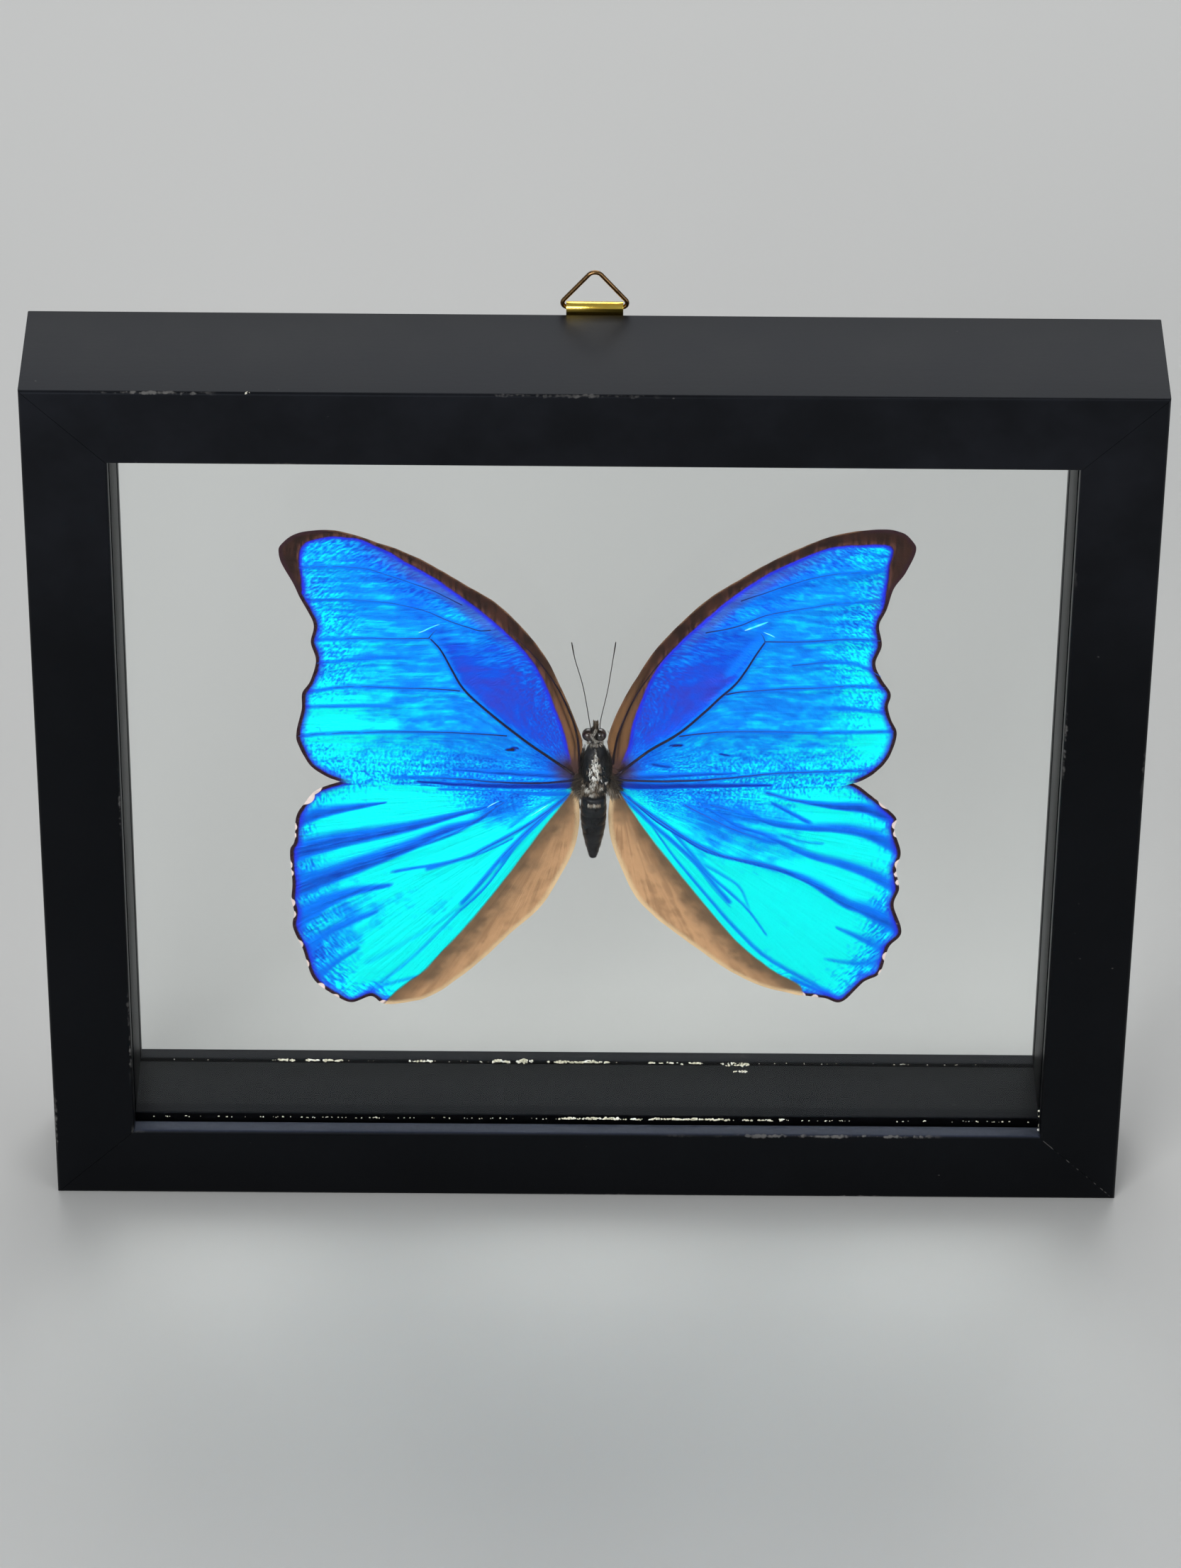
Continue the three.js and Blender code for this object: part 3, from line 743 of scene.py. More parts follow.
# Sheet brass folded round the wire, its two leaves pressed together below.
def makeStrap():
    bm = bmesh.new()
    loop, plate, drop, bore = (hanger[key] for key in ("loop", "plate", "drop", "bore"))
    turnBack = math.acos((plate - loop) / loop)
    outer = arc((0, 0), loop, math.pi, -turnBack, 30)
    outer = [(-loop, -drop)] + outer + [(plate - loop, -drop)]
    seam = -math.pi / 2
    inner = arc((0, 0), bore, seam + 0.25, seam + 2 * math.pi - 0.25, 28)
    # the slit between the leaves opens into the bore
    seamY = plate / 2 - loop
    profile = outer + [(seamY + hanger["slit"], -drop)] + inner + [(seamY - hanger["slit"], -drop)]
    half = hanger["strapWidth"] / 2
    verts = [bm.verts.new(hanger["axis"] + Vector((-half, y, z))) for y, z in profile]
    face = bm.faces.new(verts)
    pushed = bmesh.ops.extrude_face_region(bm, geom=[face], use_keep_orig=True)["geom"]
    far = [part for part in pushed if isinstance(part, bmesh.types.BMVert)]
    bmesh.ops.translate(bm, vec=(2 * half, 0, 0), verts=far)
    turnOutward(bm)
    ends = [
        edge for edge in bm.edges
        if edge.is_manifold and edge.calc_face_angle() > 0.8 and edge.calc_length() < 1 * mm
    ]
    bmesh.ops.bevel(
        bm, geom=ends, offset=hanger["edge"], segments=2, profile=0.5, affect="EDGES", material=-1,
    )
    brass = metalFinish("sheet_brass", (1.0, 0.72, 0.13), (0.92, 0.55, 0.07), 0.17, (60, 3000, 3000))
    placePiece("hanger_strap_sheet", bm, [brass], ["hanger_strap"], sharp=35)
    for side in ("left", "right"):
        low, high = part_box("hanger_nail_" + side)
        centre = (low + high) / 2
        head = (high.x - low.x) / 2
        flat = high.y - hanger["nailHead"]
        profile = [(head * share, rise * mm) for share, rise in hanger["nailRim"]]
        foot, rise = hanger["nailDome"]
        profile += [(head * math.cos(a), foot + rise * math.sin(a)) for a in numpy.linspace(0.2, 1.5, 6)]
        profile += [(0, hanger["nailTop"])]
        nail = bmesh.new()
        addTurned(nail, profile, (0, 0, 0), 28)
        layBack(nail, (centre.x, flat, centre.z))
        node = "hanger_nail_" + side
        placePiece(f"hanger_nail_head_{side}", nail, [brass], [node], sharp=40)
    print("hanger made")


# Each outline runs from the root along the leading edge, round the tip and back, as x and z.
# The left and right wings are drawn on their own, as no two are alike.
leftCellVein = [
    (-9, 118.4), (-15.3, 123.8), (-23.5, 131.8), (-29.2, 138.2), (-32, 143.7), (-34.5, 149.1),
    (-36.9, 152.3),
]
leftForewing = {
    "outline": [
        (-1.9, 122.4), (-3.3, 127.9), (-6.9, 138.2), (-11.6, 148.7), (-20.4, 160.3), (-29.3, 167.1),
        (-40.1, 174.2), (-49.3, 178.4), (-56.5, 180.9), (-62.2, 181.4), (-67.2, 180.4), (-70.6, 177.4),
        (-71.2, 175.3), (-70.4, 171.8), (-68, 166.8), (-66.4, 162.4), (-63.6, 155.8), (-64.3, 150.5),
        (-63.2, 145.5), (-64.6, 139.7), (-66.5, 136.3), (-66.7, 131.8), (-68, 125.5), (-67.7, 121.8),
        (-64.8, 115.5), (-59.3, 111.6), (-53, 110.4), (-40, 110.1), (-25.4, 109.2), (-12, 108.6),
        (-5, 109.6), (-3, 112.8), (-2.7, 117.4),
    ],
    "root": (-4.6, 115.2),
    "outer": (9, 25),  # first and last outline points of the outer margin
    "border": [
        (-3.9, 113.4), (-4.9, 118.8), (-6.4, 126), (-7.4, 129.4), (-11.3, 140.9), (-15.4, 148.3),
        (-20.2, 154.2), (-26.7, 160.4), (-33.2, 166.3), (-39.6, 170.8), (-46, 175.2), (-51.6, 178.4),
        (-55.6, 179.3), (-61.6, 179), (-65.1, 177.5), (-66.3, 174.8), (-66.4, 170.9), (-66, 167),
        (-66.6, 163.6), (-72, 161.6),
    ],
    "cell": [(-4.5, 114.3)] + leftCellVein,
    "cellEnd": (126, 150),  # height over which the cell fades out
    "bright": (0.34, 0.66),  # tone near the root and towards the margin
    "glows": [  # place, radius and amount of a lighter or darker patch
        (-31, 156, 6, 0.22), (-24, 146, 4, 0.1), (-62, 128.8, 10, 0.4), (-50, 117.8, 13, 0.14),
        (-60, 152.8, 10, 0.12), (-48, 165.8, 14, -0.06), (-24, 113.8, 12, -0.12),
    ],
    "veins": [  # route, radius at its start and end, how blue it is at its start and end
        ([(-3.8, 113.9)] + leftCellVein, 0.38, 0.17, 0.0, 0.4),
        ([(-37, 152.5), (-44.2, 152.4), (-51.9, 152.2), (-62.8, 151.3)], 0.15, 0.1, 0.4),
        ([(-37.2, 152.6), (-36.2, 154), (-35.2, 155)], 0.15, 0.09, 0.3),
        ([
            (-23.1, 154.5), (-25.4, 154.3), (-27.9, 155.1), (-33.2, 157.3), (-37.2, 159.4), (-42.1, 161.1),
            (-47.7, 162.3), (-55, 162.7), (-64.8, 162.1),
        ], 0.16, 0.11, 0.3),
        ([
            (-29.6, 161.3), (-33.2, 163.4), (-36.4, 165.3), (-41.2, 167.2), (-46.8, 169.6), (-52.5, 171.3),
            (-59.7, 171.7), (-66.8, 171.2),
        ], 0.15, 0.11, 0.4),
        ([(-30.2, 137.9), (-36, 138.4), (-43.9, 138.6), (-55.3, 138.5), (-64.8, 136.8)], 0.17, 0.1, 0.3),
        ([
            (-19.4, 125.2), (-26, 125.7), (-35.8, 126.1), (-48.1, 126), (-60.4, 125.2), (-67.6, 124.2),
        ], 0.18, 0.1, 0.3),
        ([(-44, 147.4), (-51.9, 146.5), (-63, 144.8)], 0.06, 0.09, 0.6),
        ([(-46, 133.6), (-53.7, 133.3), (-65.4, 132.6)], 0.05, 0.08, 0.7),
        ([
            (-3.6, 112.4), (-5.4, 111.9), (-13.6, 111.3), (-21.9, 111.5), (-30.1, 112.2), (-37.5, 112.6),
            (-46, 112.6),
        ], 0.34, 0.08, 0.0),
        ([
            (-2.6, 116), (-2.7, 119.4), (-3, 123.4), (-4, 128.4), (-5.9, 133.8), (-8, 138.8),
            (-10.3, 142.8), (-13.4, 147.5), (-18.6, 154),
        ], 0.3, 0.12, 0.0, 0.1),
    ],
    # streaks: mostly painted shade beside the veins and folds and along the lower edge, a few dark spots of
    # the wing
    "streaks": [  # route, half width at its start and end, strength
        ([(-4, 113), (-12, 113.2), (-22, 113.8), (-32, 114.6)], 1.6, 0.4, 1.0),
        ([(-4, 110.2), (-14, 110), (-26, 110.2), (-40, 111.2)], 1.7, 0.5, 1.25),
        ([(-17.5, 120.9), (-18.9, 120.5)], 0.75, 0.55, 2.6),
        ([(-18, 117.8), (-28, 119.4), (-36, 122.8)], 1.2, 0.5, 0.45),
        ([(-20, 122.3), (-28, 123.8), (-38, 124.1)], 0.8, 0.4, 0.45),
        ([(-38, 148.8), (-42, 146.8), (-45, 148.8)], 2.2, 1.2, 0.5),
        ([(-36, 157.3), (-46, 159.4), (-60, 159.2)], 0.6, 1.2, 0.35),
        ([(-45, 153.6), (-62, 152.8)], 0.6, 1.2, 0.3),
        ([(-28, 131.8), (-36, 134.8)], 1.4, 0.8, 0.3),
    ],
    # creases are folds in the wing; their rods carry painted glints
    "creases": [  # route, radius at its start and end
        ([(-40.5, 153.6), (-38.6, 154.4), (-36.3, 155.6), (-34, 156.5)], 0.16, 0.22),
        ([(-38.1, 153), (-36.6, 154.2), (-35.6, 155)], 0.07, 0.09),
        ([(-31.4, 137.9), (-30.2, 138.6)], 0.1, 0.08),
    ],
    "eyespots": [(-46, 158.3, 2.4), (-51, 146.8, 2.9), (-53, 126.8, 3.3)],
}
rightCellVein = [
    (9, 116.6), (14.2, 121.5), (20.7, 126.6), (26.4, 132.7), (29.9, 136.8), (33.1, 140.3),
    (35.5, 144.3), (37.8, 148.8), (39.6, 152),
]
rightForewing = {
    "outline": [
        (3.9, 123.4), (5.8, 130.8), (9.9, 140.3), (15.8, 150.8), (25, 161.8), (35, 169.8), (45, 176.3),
        (54.7, 181), (63.9, 182.7), (69.5, 182.1), (72.6, 179.2), (73.2, 176.6), (71.1, 170.8),
        (68.6, 166.6), (67.2, 160.8), (65.6, 156.4), (66.4, 150.8), (65.1, 145.8), (66.7, 141.3),
        (68.9, 137.3), (68.4, 133.6), (69.3, 129.8), (70.7, 126.2), (69.9, 121.6), (67.9, 117.1),
        (63.2, 112.6), (58, 111), (50, 110.2), (35, 109.4), (20, 109.3), (9, 109.5), (5.5, 111.8),
        (5, 117.8),
    ],
    "root": (6.8, 115.4),
    "outer": (8, 25),
    "border": [
        (6.2, 113.6), (7.5, 118), (8.9, 122), (10, 129.1), (14, 141.6), (17.9, 148.1), (23.5, 154.8),
        (28.3, 160), (33.8, 165.3), (39.8, 170), (44.9, 173.1), (51.7, 176.5), (57.6, 177.9), (67.3, 177.9),
        (67.3, 172.6), (67, 168.6), (66.6, 164.4), (66.9, 161.6), (69, 159.4), (74, 158),
    ],
    "cell": [(7, 114.3)] + rightCellVein,
    "cellEnd": (126, 150),
    "bright": (0.36, 0.64),
    "glows": [
        (38, 157, 5, 0.2), (30, 146, 5, 0.1), (67, 124.8, 9, 0.45), (64, 143.8, 8, 0.3),
        (62, 168.8, 9, 0.0), (46, 152.8, 10, -0.04), (40, 130.8, 14, -0.06), (50, 111.8, 14, 0.12),
    ],
    "veins": [
        ([(6, 113.6)] + rightCellVein, 0.38, 0.19, 0.0, 0.4),
        ([(39.6, 152.2), (50.3, 152.3), (58.4, 152.7), (66, 152.1)], 0.17, 0.1, 0.4),
        ([(39.6, 152.2), (39, 153.8), (38, 155)], 0.14, 0.09, 0.3),
        ([
            (26, 154.1), (33.2, 156.1), (39.2, 159.1), (44, 160.4), (50.1, 161.7), (56.1, 162.7),
            (66.4, 163.3),
        ], 0.17, 0.1, 0.4),
        ([
            (33.9, 163), (39.9, 165.5), (45.9, 168), (51.8, 170), (57.9, 171), (66.6, 171.3),
        ], 0.16, 0.1, 0.4),
        ([(46, 145.7), (50, 146), (54.6, 146.4), (61.1, 145.5), (66.4, 142.2)], 0.13, 0.09, 0.5),
        ([
            (31, 137.4), (34, 138.1), (38.5, 138.6), (44.6, 139.1), (49.9, 139.2), (58.8, 139.5),
            (67.6, 139),
        ], 0.18, 0.1, 0.3),
        ([
            (20.4, 125.4), (26.5, 126.4), (32.6, 126.9), (42.8, 126.9), (55.1, 126.7), (70, 126.6),
        ], 0.18, 0.1, 0.3),
        ([(56, 133.6), (62, 132.8), (68, 132)], 0.05, 0.09, 0.7),
        ([
            (6, 112.6), (9.4, 112.3), (17.7, 112.1), (25.9, 112.4), (32.5, 113.2), (42.4, 114.6),
            (54.7, 115.2), (66, 115.7),
        ], 0.34, 0.09, 0.0),
        ([
            (5.2, 117), (5.6, 121), (6.8, 127), (9.6, 134.6), (13.4, 142), (18.6, 149.6),
        ], 0.3, 0.12, 0.0, 0.1),
    ],
    "streaks": [
        ([(6.5, 113), (14, 113), (24, 113.6), (34, 114.4)], 1.5, 0.4, 1.0),
        ([(7, 110.4), (18, 110.2), (30, 110.6), (42, 110.8)], 1.7, 0.5, 1.25),
        ([(18.8, 122.3), (21, 122.3)], 0.55, 0.5, 2),
        ([(30, 119.8), (31.9, 119.4)], 0.4, 0.35, 1.5),
        ([(14, 116.6), (16, 116.2), (18.4, 115.8)], 0.9, 0.8, 1.1),
        ([(32, 142.8), (36, 148.8), (38.5, 151.8)], 1.6, 1.8, 0.6),
        ([(28, 134.8), (32, 138.8)], 1.0, 1.2, 0.6),
        ([(30, 159.2), (40, 163.8), (48, 167.4)], 1.1, 0.6, 0.5),
        ([(36, 160.8), (44, 164.8), (52, 166.2)], 0.8, 0.5, 0.4),
        ([(57, 142.3), (64, 141.8)], 0.5, 0.3, 0.4),
        ([(48, 132.4), (48.6, 131.8)], 0.4, 0.3, 1.2),
    ],
    "creases": [
        ([(34.3, 154.7), (37.3, 156.2), (40.9, 157.9)], 0.22, 0.3),
        ([(34.6, 154.3), (36.4, 155)], 0.12, 0.07),
        ([(38.1, 155.2), (40.5, 154.2), (42.6, 153)], 0.12, 0.18),
        ([(25.9, 154.6), (27, 154.3)], 0.09, 0.07),
        ([(28.6, 139.4), (29.6, 140.2)], 0.08, 0.06),
        ([(44.6, 159.6), (46.4, 160.6)], 0.06, 0.08),
    ],
    "eyespots": [(48, 158.3, 2.4), (53, 146.8, 2.9), (55, 126.8, 3.3)],
}
leftHindwing = {
    "outline": [
        (-3.5, 108.4), (-12, 111.8), (-35, 114.1), (-50, 113.1), (-59, 110.2), (-63.8, 108.1),
        (-66.7, 104.1), (-68.6, 100.2), (-69.1, 93.3), (-70.2, 90.2), (-69.8, 81.2), (-70.1, 76.4),
        (-69.5, 72.3), (-69.9, 68.1), (-67.6, 61.2), (-65.4, 52.8), (-61.2, 48.6), (-56.4, 45.7),
        (-51.7, 47.6), (-48.5, 45.4), (-43.3, 45.3), (-38, 46.2), (-32.2, 50.3), (-24.8, 57.4),
        (-18.5, 64.7), (-11.7, 71.8), (-7.5, 80), (-3.8, 89.2), (-2.5, 97.4), (-2.6, 104.8),
    ],
    "root": (-4.6, 107),
    "outer": (4, 20),
    "foldLine": [
        (-3.4, 110.3), (-5.1, 106.9), (-11.7, 96.4), (-19.6, 83.2), (-28, 70.1), (-35.9, 59.5),
        (-39.6, 54.6), (-43.4, 51.2), (-46.4, 48.2), (-48.6, 45.6), (-50.2, 42.6),
    ],
    "foldSide": 1,  # the side of the fold line that the body is on
    "glows": [
        (-9.5, 100.4, 4.5, 0.4), (-16, 91.4, 4.5, 0.35), (-62.9, 73.1, 10, -0.34), (-63.1, 59.4, 9, -0.34),
        (-54.5, 71.1, 8, -0.14), (-47.8, 76.4, 6, -0.2), (-15.3, 105.7, 7, -0.45), (-25.2, 108.6, 8, -0.5),
        (-21.9, 101.5, 4, -0.3), (-65.2, 85.6, 6, -0.2), (-36.9, 74.4, 5, -0.2),
    ],
    "veins": [
        ([
            (-5, 107.4), (-13, 100), (-20, 95), (-25, 91.8), (-28, 89.8), (-34, 87.5), (-38, 86),
        ], 0.16, 0.1, 0.88),
        ([(-20, 105.2), (-24, 102), (-30, 97.5), (-36, 94.4), (-44, 91), (-52, 88)], 0.16, 0.08, 0.88),
        ([(-5.4, 106.6), (-12, 100), (-18, 92.8), (-22, 87.3), (-27, 79.8), (-30, 75.8)], 0.128, 0.1, 0.88),
        ([(-6.5, 106.2), (-11.6, 100.2), (-16.4, 94.2), (-20.6, 88.2)], 0.104, 0.08, 0.88),
    ],
    "streaks": [
        ([(-47.5, 104.6), (-55.8, 102.7), (-62.4, 100.9), (-68.3, 98.5)], 0.3, 3.0, 0.9),
        ([
            (-21.9, 104.6), (-28.5, 102), (-40.1, 97.9), (-50.1, 95.1), (-58.4, 92.7), (-69.1, 88.7),
        ], 0.3, 4.0, 0.95),
        ([
            (-20.6, 105.6), (-25.2, 100.4), (-33.5, 96.8), (-41.8, 92.1), (-50.2, 87.8), (-58.6, 83.4),
            (-68.6, 78.5),
        ], 0.35, 4.2, 0.95),
        ([(-17.7, 94.9), (-23.6, 91.4), (-28.5, 89.3), (-37.7, 86.7), (-46, 84.5)], 0.35, 0.7, 0.7),
        ([(-46.9, 80.6), (-54.4, 78.6), (-61.2, 75), (-68.8, 68.9)], 0.8, 4, 0.8),
        ([(-50.3, 72.7), (-57.1, 69), (-63, 64.7), (-67.7, 58.3)], 1, 3, 0.65),
        ([(-54.7, 61.6), (-59.8, 57.3), (-64.9, 52)], 1, 2.4, 0.6),
        ([(-25.2, 79.2), (-33.6, 71.3), (-43.7, 63.3), (-52.2, 57.4)], 0.5, 1.6, 0.3),
        ([
            (-13.6, 98), (-17.7, 92.3), (-23.6, 81.8), (-28.6, 75.5), (-39.5, 61.7), (-48, 52.6),
            (-54.8, 46.7),
        ], 0.35, 1.0, 0.45),
        ([
            (-5.8, 107), (-11.1, 100.1), (-16.9, 93.1), (-20.2, 87.1), (-25.2, 79.2), (-30.3, 73.4),
        ], 0.3, 0.5, 0.65),
        ([(-6.2, 107.3), (-12, 107.2), (-16.9, 107.9), (-25.2, 108.4), (-35.1, 108.3)], 1.2, 0.6, 0.7),
        ([(-7, 106.8), (-13.6, 102.6), (-18.6, 97.9)], 0.9, 0.7, 0.5),
        ([(-54.1, 110.2), (-59, 109.4), (-62.3, 108.1)], 0.8, 0.9, 0.9),
        ([(-40.4, 53.2), (-47.2, 51), (-54, 47.8)], 0.8, 0.9, 0.5),
    ],
    "creases": [
        ([(-5.6, 107.8), (-10, 104.4), (-15, 100.4), (-20, 96.8)], 0.16, 0.08),
        ([(-20, 106.2), (-23, 104.4), (-25.6, 102.4)], 0.18, 0.1),
    ],
    "fringe": [  # place, half length and thickness of each pale stretch of the fringe
        (-65.5, 105.7, 2.2, 1.9), (-63.8, 108.1, 1.6, 1.4), (-69.4, 97.5, 1.3, 1.5),
        (-69.5, 94.9, 1.1, 1.4), (-70.5, 86.4, 1.1, 1.3), (-70, 84, 0.9, 1.1), (-69.9, 75.4, 1.2, 1.3),
        (-69.8, 71.8, 1.1, 1.1), (-68.4, 63.1, 1.3, 1.2), (-67, 57.3, 1.2, 1), (-63.2, 50.9, 1.2, 1.1),
        (-59.9, 47.7, 1, 0.9), (-48.5, 45.9, 1.2, 1.5), (-43.4, 47.7, 1.3, 1.3),
    ],
    "eyespots": [(-55, 103.8, 2.8), (-55, 86.8, 3.1), (-53, 74.8, 2.9), (-48, 62.8, 2.6)],
}
rightHindwing = {
    "outline": [
        (5.8, 108.8), (14, 111.8), (35, 114.1), (52, 113.3), (61, 111.1), (65.3, 107.8), (68.2, 105),
        (71.5, 101.2), (71.2, 97.8), (72.9, 91.2), (72, 86.5), (72.9, 80.7), (71.8, 75.8), (73.9, 67.8),
        (71.1, 63.3), (69.2, 55.7), (65.5, 53), (60.5, 47), (56, 48), (48, 49), (42.1, 50.2), (33.9, 54.3),
        (26.3, 60.2), (19.5, 65.8), (14.7, 70.5), (10.5, 76.3), (7.4, 84.3), (5.2, 91.8), (4.3, 99.1),
        (4.6, 105.8),
    ],
    "root": (6.9, 107.6),
    "outer": (4, 19),
    "foldLine": [
        (5.6, 110.8), (7.4, 107.4), (11, 100.6), (15.8, 92.7), (24.7, 79.5), (33.7, 66.4), (39, 60.4),
        (44, 55.8), (48, 53.2), (50.6, 51), (51.4, 46.8),
    ],
    "foldSide": -1,
    "glows": [
        (10.4, 104, 3.6, 0.4), (16.5, 94.4, 4, 0.4), (25.2, 105, 9, -0.5), (35.2, 102, 8, -0.3),
        (44.3, 103.1, 5, -0.25), (32.9, 94.3, 7, -0.25), (42.1, 89.7, 6, -0.3), (25.5, 89.6, 5, -0.12),
        (47.8, 94.9, 6, -0.25), (14.5, 107, 5, -0.35), (69.4, 71.2, 6, -0.3), (65.6, 58.5, 6, -0.3),
    ],
    "veins": [
        ([
            (7.4, 108), (12, 103.8), (19.5, 97.8), (24, 94.4), (30, 91), (33, 89.9), (38, 88.8), (43, 87.4),
            (46.5, 86),
        ], 0.176, 0.12, 0.88),
        ([(46.5, 86), (52, 82.8), (60, 77.8), (68, 71.8)], 0.08, 0.06, 0.88),
        ([(22, 104.8), (27, 101.8), (31, 99.4), (35, 97.4), (40, 95.4), (43.5, 94.4)], 0.16, 0.1, 0.88),
        ([(28, 104.8), (33, 103.4), (38, 101.4), (45, 99.8), (53, 98.3)], 0.128, 0.07, 0.88),
        ([(41, 108.4), (46, 106.8), (52, 105.4), (60, 103.8)], 0.136, 0.1, 0.88),
        ([(8, 106.4), (14, 99.8), (19, 94.8), (24, 89.3), (28, 83.8), (33, 76.8)], 0.12, 0.08, 0.88),
    ],
    "streaks": [
        ([(46.7, 106.4), (55.8, 104.5), (64.2, 103.1), (71.7, 99.8)], 0.4, 2.8, 0.95),
        ([(42.2, 105.2), (46.8, 102.3), (51, 99.8)], 0.6, 0.8, 0.85),
        ([(33.5, 105.1), (41.1, 100), (47.7, 98.5), (56, 97.9), (64.4, 96.1), (72, 91.5)], 0.35, 2.8, 0.8),
        ([(32.8, 98.7), (41.2, 96.1), (49.6, 91), (58, 87.8), (64.8, 84.7), (72.9, 79.6)], 0.4, 2.6, 0.75),
        ([
            (34.7, 89.1), (44.7, 86.1), (52.3, 82.3), (60, 76.1), (65.1, 73.7), (73.7, 67.5),
        ], 0.35, 3.2, 0.8),
        ([(22.7, 108.1), (26.9, 104), (31.1, 101), (34.5, 98.7), (41.1, 96.3)], 0.5, 0.6, 0.9),
        ([
            (8.7, 106.9), (14.5, 100.8), (21.2, 95.7), (27.1, 91.6), (33, 89.6), (38, 88.1), (44.7, 86.1),
            (48.1, 85),
        ], 0.35, 0.7, 1),
        ([(58.6, 69), (64.6, 65.3), (71.4, 61.2)], 0.5, 2.8, 0.6),
        ([(56.3, 59.4), (63.1, 57.9), (69.8, 58.5)], 0.6, 1.8, 0.55),
        ([(27.2, 87.3), (31.4, 84.2), (35.3, 80.8), (37.5, 75.1)], 0.8, 0.4, 0.5),
        ([(19.7, 96.5), (24.7, 89.5), (28.5, 84.2), (33.2, 79.2), (37.5, 74), (41.9, 66.7)], 0.8, 0.4, 0.6),
        ([
            (13.3, 100.8), (18.8, 91), (24, 83.3), (29.1, 76), (34.3, 68.7), (42, 59.8), (52.3, 52.5),
            (59.2, 47.7),
        ], 0.35, 1.1, 0.6),
        ([(23, 91.6), (28.1, 82.3), (33.3, 75)], 0.7, 0.3, 0.45),
        ([(8.6, 109.5), (19.4, 109.2), (30.9, 109.6), (40.8, 109.8), (50.7, 109.9)], 1.3, 0.7, 0.7),
        ([(48.9, 52.8), (54.1, 50.3), (60.1, 47.5)], 0.9, 1, 0.7),
        ([(44.5, 96.4), (49.5, 94.4), (54.5, 93.7)], 0.5, 0.6, 0.5),
    ],
    "creases": [
        ([(8, 108.6), (12.4, 105.6), (16, 102.2), (19.4, 98.6)], 0.12, 0.07),
        ([(21, 108.8), (24.4, 106.4), (27, 103.6), (30, 101.6)], 0.13, 0.08),
        ([(19.8, 97.2), (22, 93.4), (24.8, 89.2), (27.6, 84.8)], 0.14, 0.07),
        ([(31, 90.2), (34, 86.8)], 0.1, 0.06),
    ],
    "fringe": [
        (67.3, 108.2, 1.8, 1.5), (68.7, 105.4, 1.6, 1.5), (71.4, 99.3, 1.3, 1.5), (71.6, 96.7, 1, 1.2),
        (72.4, 87.9, 1.2, 1.4), (71.8, 84.8, 0.8, 1), (72.2, 82.5, 0.9, 1), (72.3, 70.1, 1, 1),
        (70.3, 60.6, 1.3, 1.2), (69.6, 55.8, 1, 1), (50.7, 49.3, 1.4, 1.2), (54.1, 48.8, 1, 0.9),
    ],
    "eyespots": [(57, 103.8, 2.8), (57, 86.8, 3.1), (55, 74.8, 2.9), (50, 62.8, 2.6)],
}
wings = {
    "left_forewing": leftForewing,
    "right_forewing": rightForewing,
    "left_hindwing": leftHindwing,
    "right_hindwing": rightHindwing,
}

blade = {
    "around": 380,
    "rings": 84,
    "crowd": 1.3,  # rings stand closer towards the edge
    "thickness": 0.22,
    "edgeThickness": 0.07,
    "camberReach": 22,
    "foreCamber": (-0.3, 0.9),  # depth at the rim and how far the middle stands forward of it
    "hindCamber": (0.5, 0.6),
    "pleat": 0.4,
    "pleatWidth": 2,
    "cockle": 0.22,
    "foldDepth": 3.2,
    "foldWidth": 14,
    "veinSteps": 20,
    "foldSteps": 60,
}
shading = {
    # how the painted shade of the streaks falls off
    "steepSide": 2.2,  # a streak fades faster towards the leading edge
    "softSide": 0.85,
    "streakReach": 1.7,
    "streakSteps": 24,
    # a soft painted shade round each vein
    "veinStrength": 0.62,
    "veinReach": (0.1, 1.2),
    "borderSteps": 90,
    "borderDip": 0.3,  # the blue darkens along the brown border
    "borderReach": 11,
    "cellSteps": 40,
    "cellTone": 0.14,
    "cellRootTone": 0.12,
    # hindwings sit near cyan, partly their own colour and partly a painted reflection of their bright sheen
    "hindTone": 1.12,
    "rimDip": 0.25,
}


def rimOf(wing):
    return evenRoute(wing["outline"], blade["around"], closed=True)


# How far each place is past the fold line towards the body, in millimetres.
def pastFold(wing, places):
    if "foldLine" not in wing:
        return numpy.full(len(places), -99.0)
    distance, _, side = nearest(places, roundRoute(wing["foldLine"], blade["foldSteps"]))
    return distance * numpy.sign(side) * wing["foldSide"]


# Depth of the wing at each place: a shallow curve, pleats between the veins and a fold beside the body.
def depthAt(wing, places):
    rim = rimOf(wing)
    toRim = nearest(places, numpy.vstack([rim, rim[:1]]))[0]
    arch = easeArray(toRim, 0, blade["camberReach"])
    if "foldLine" in wing:
        start, rise = blade["hindCamber"]
        fold = easeArray(pastFold(wing, places), 0, blade["foldWidth"])
        depth = start - rise * arch + blade["foldDepth"] * fold
    else:
        start, rise = blade["foreCamber"]
        depth = start - rise * arch
    toVein = numpy.full(len(places), 99.0)
    for route, *_ in wing["veins"] + wing["creases"]:
        toVein = numpy.minimum(toVein, nearest(places, roundRoute(route, blade["veinSteps"]))[0])
    sag = (1 - numpy.exp(-((toVein / blade["pleatWidth"]) ** 2))) * easeArray(toRim, 0, 4)
    waves = [
        noise.noise((x * 0.16, z * 0.16, 4.2)) + 0.6 * noise.noise((x * 0.42, z * 0.42, 9.1))
        for x, z in places
    ]
    waves = numpy.array(waves) * blade["cockle"] * (1.2 - easeArray(toRim, 0, 18))
    return depth + blade["pleat"] * sag + waves, toRim


# Soft lighter and darker patches: each has a place, a radius and an amount.
def glow(wing, places):
    total = numpy.zeros(len(places))
    for x, z, radius, amount in wing["glows"]:
        distance = numpy.linalg.norm(places - (x, z), axis=1) / radius
        total += amount * numpy.exp(-(distance**2))
    return total


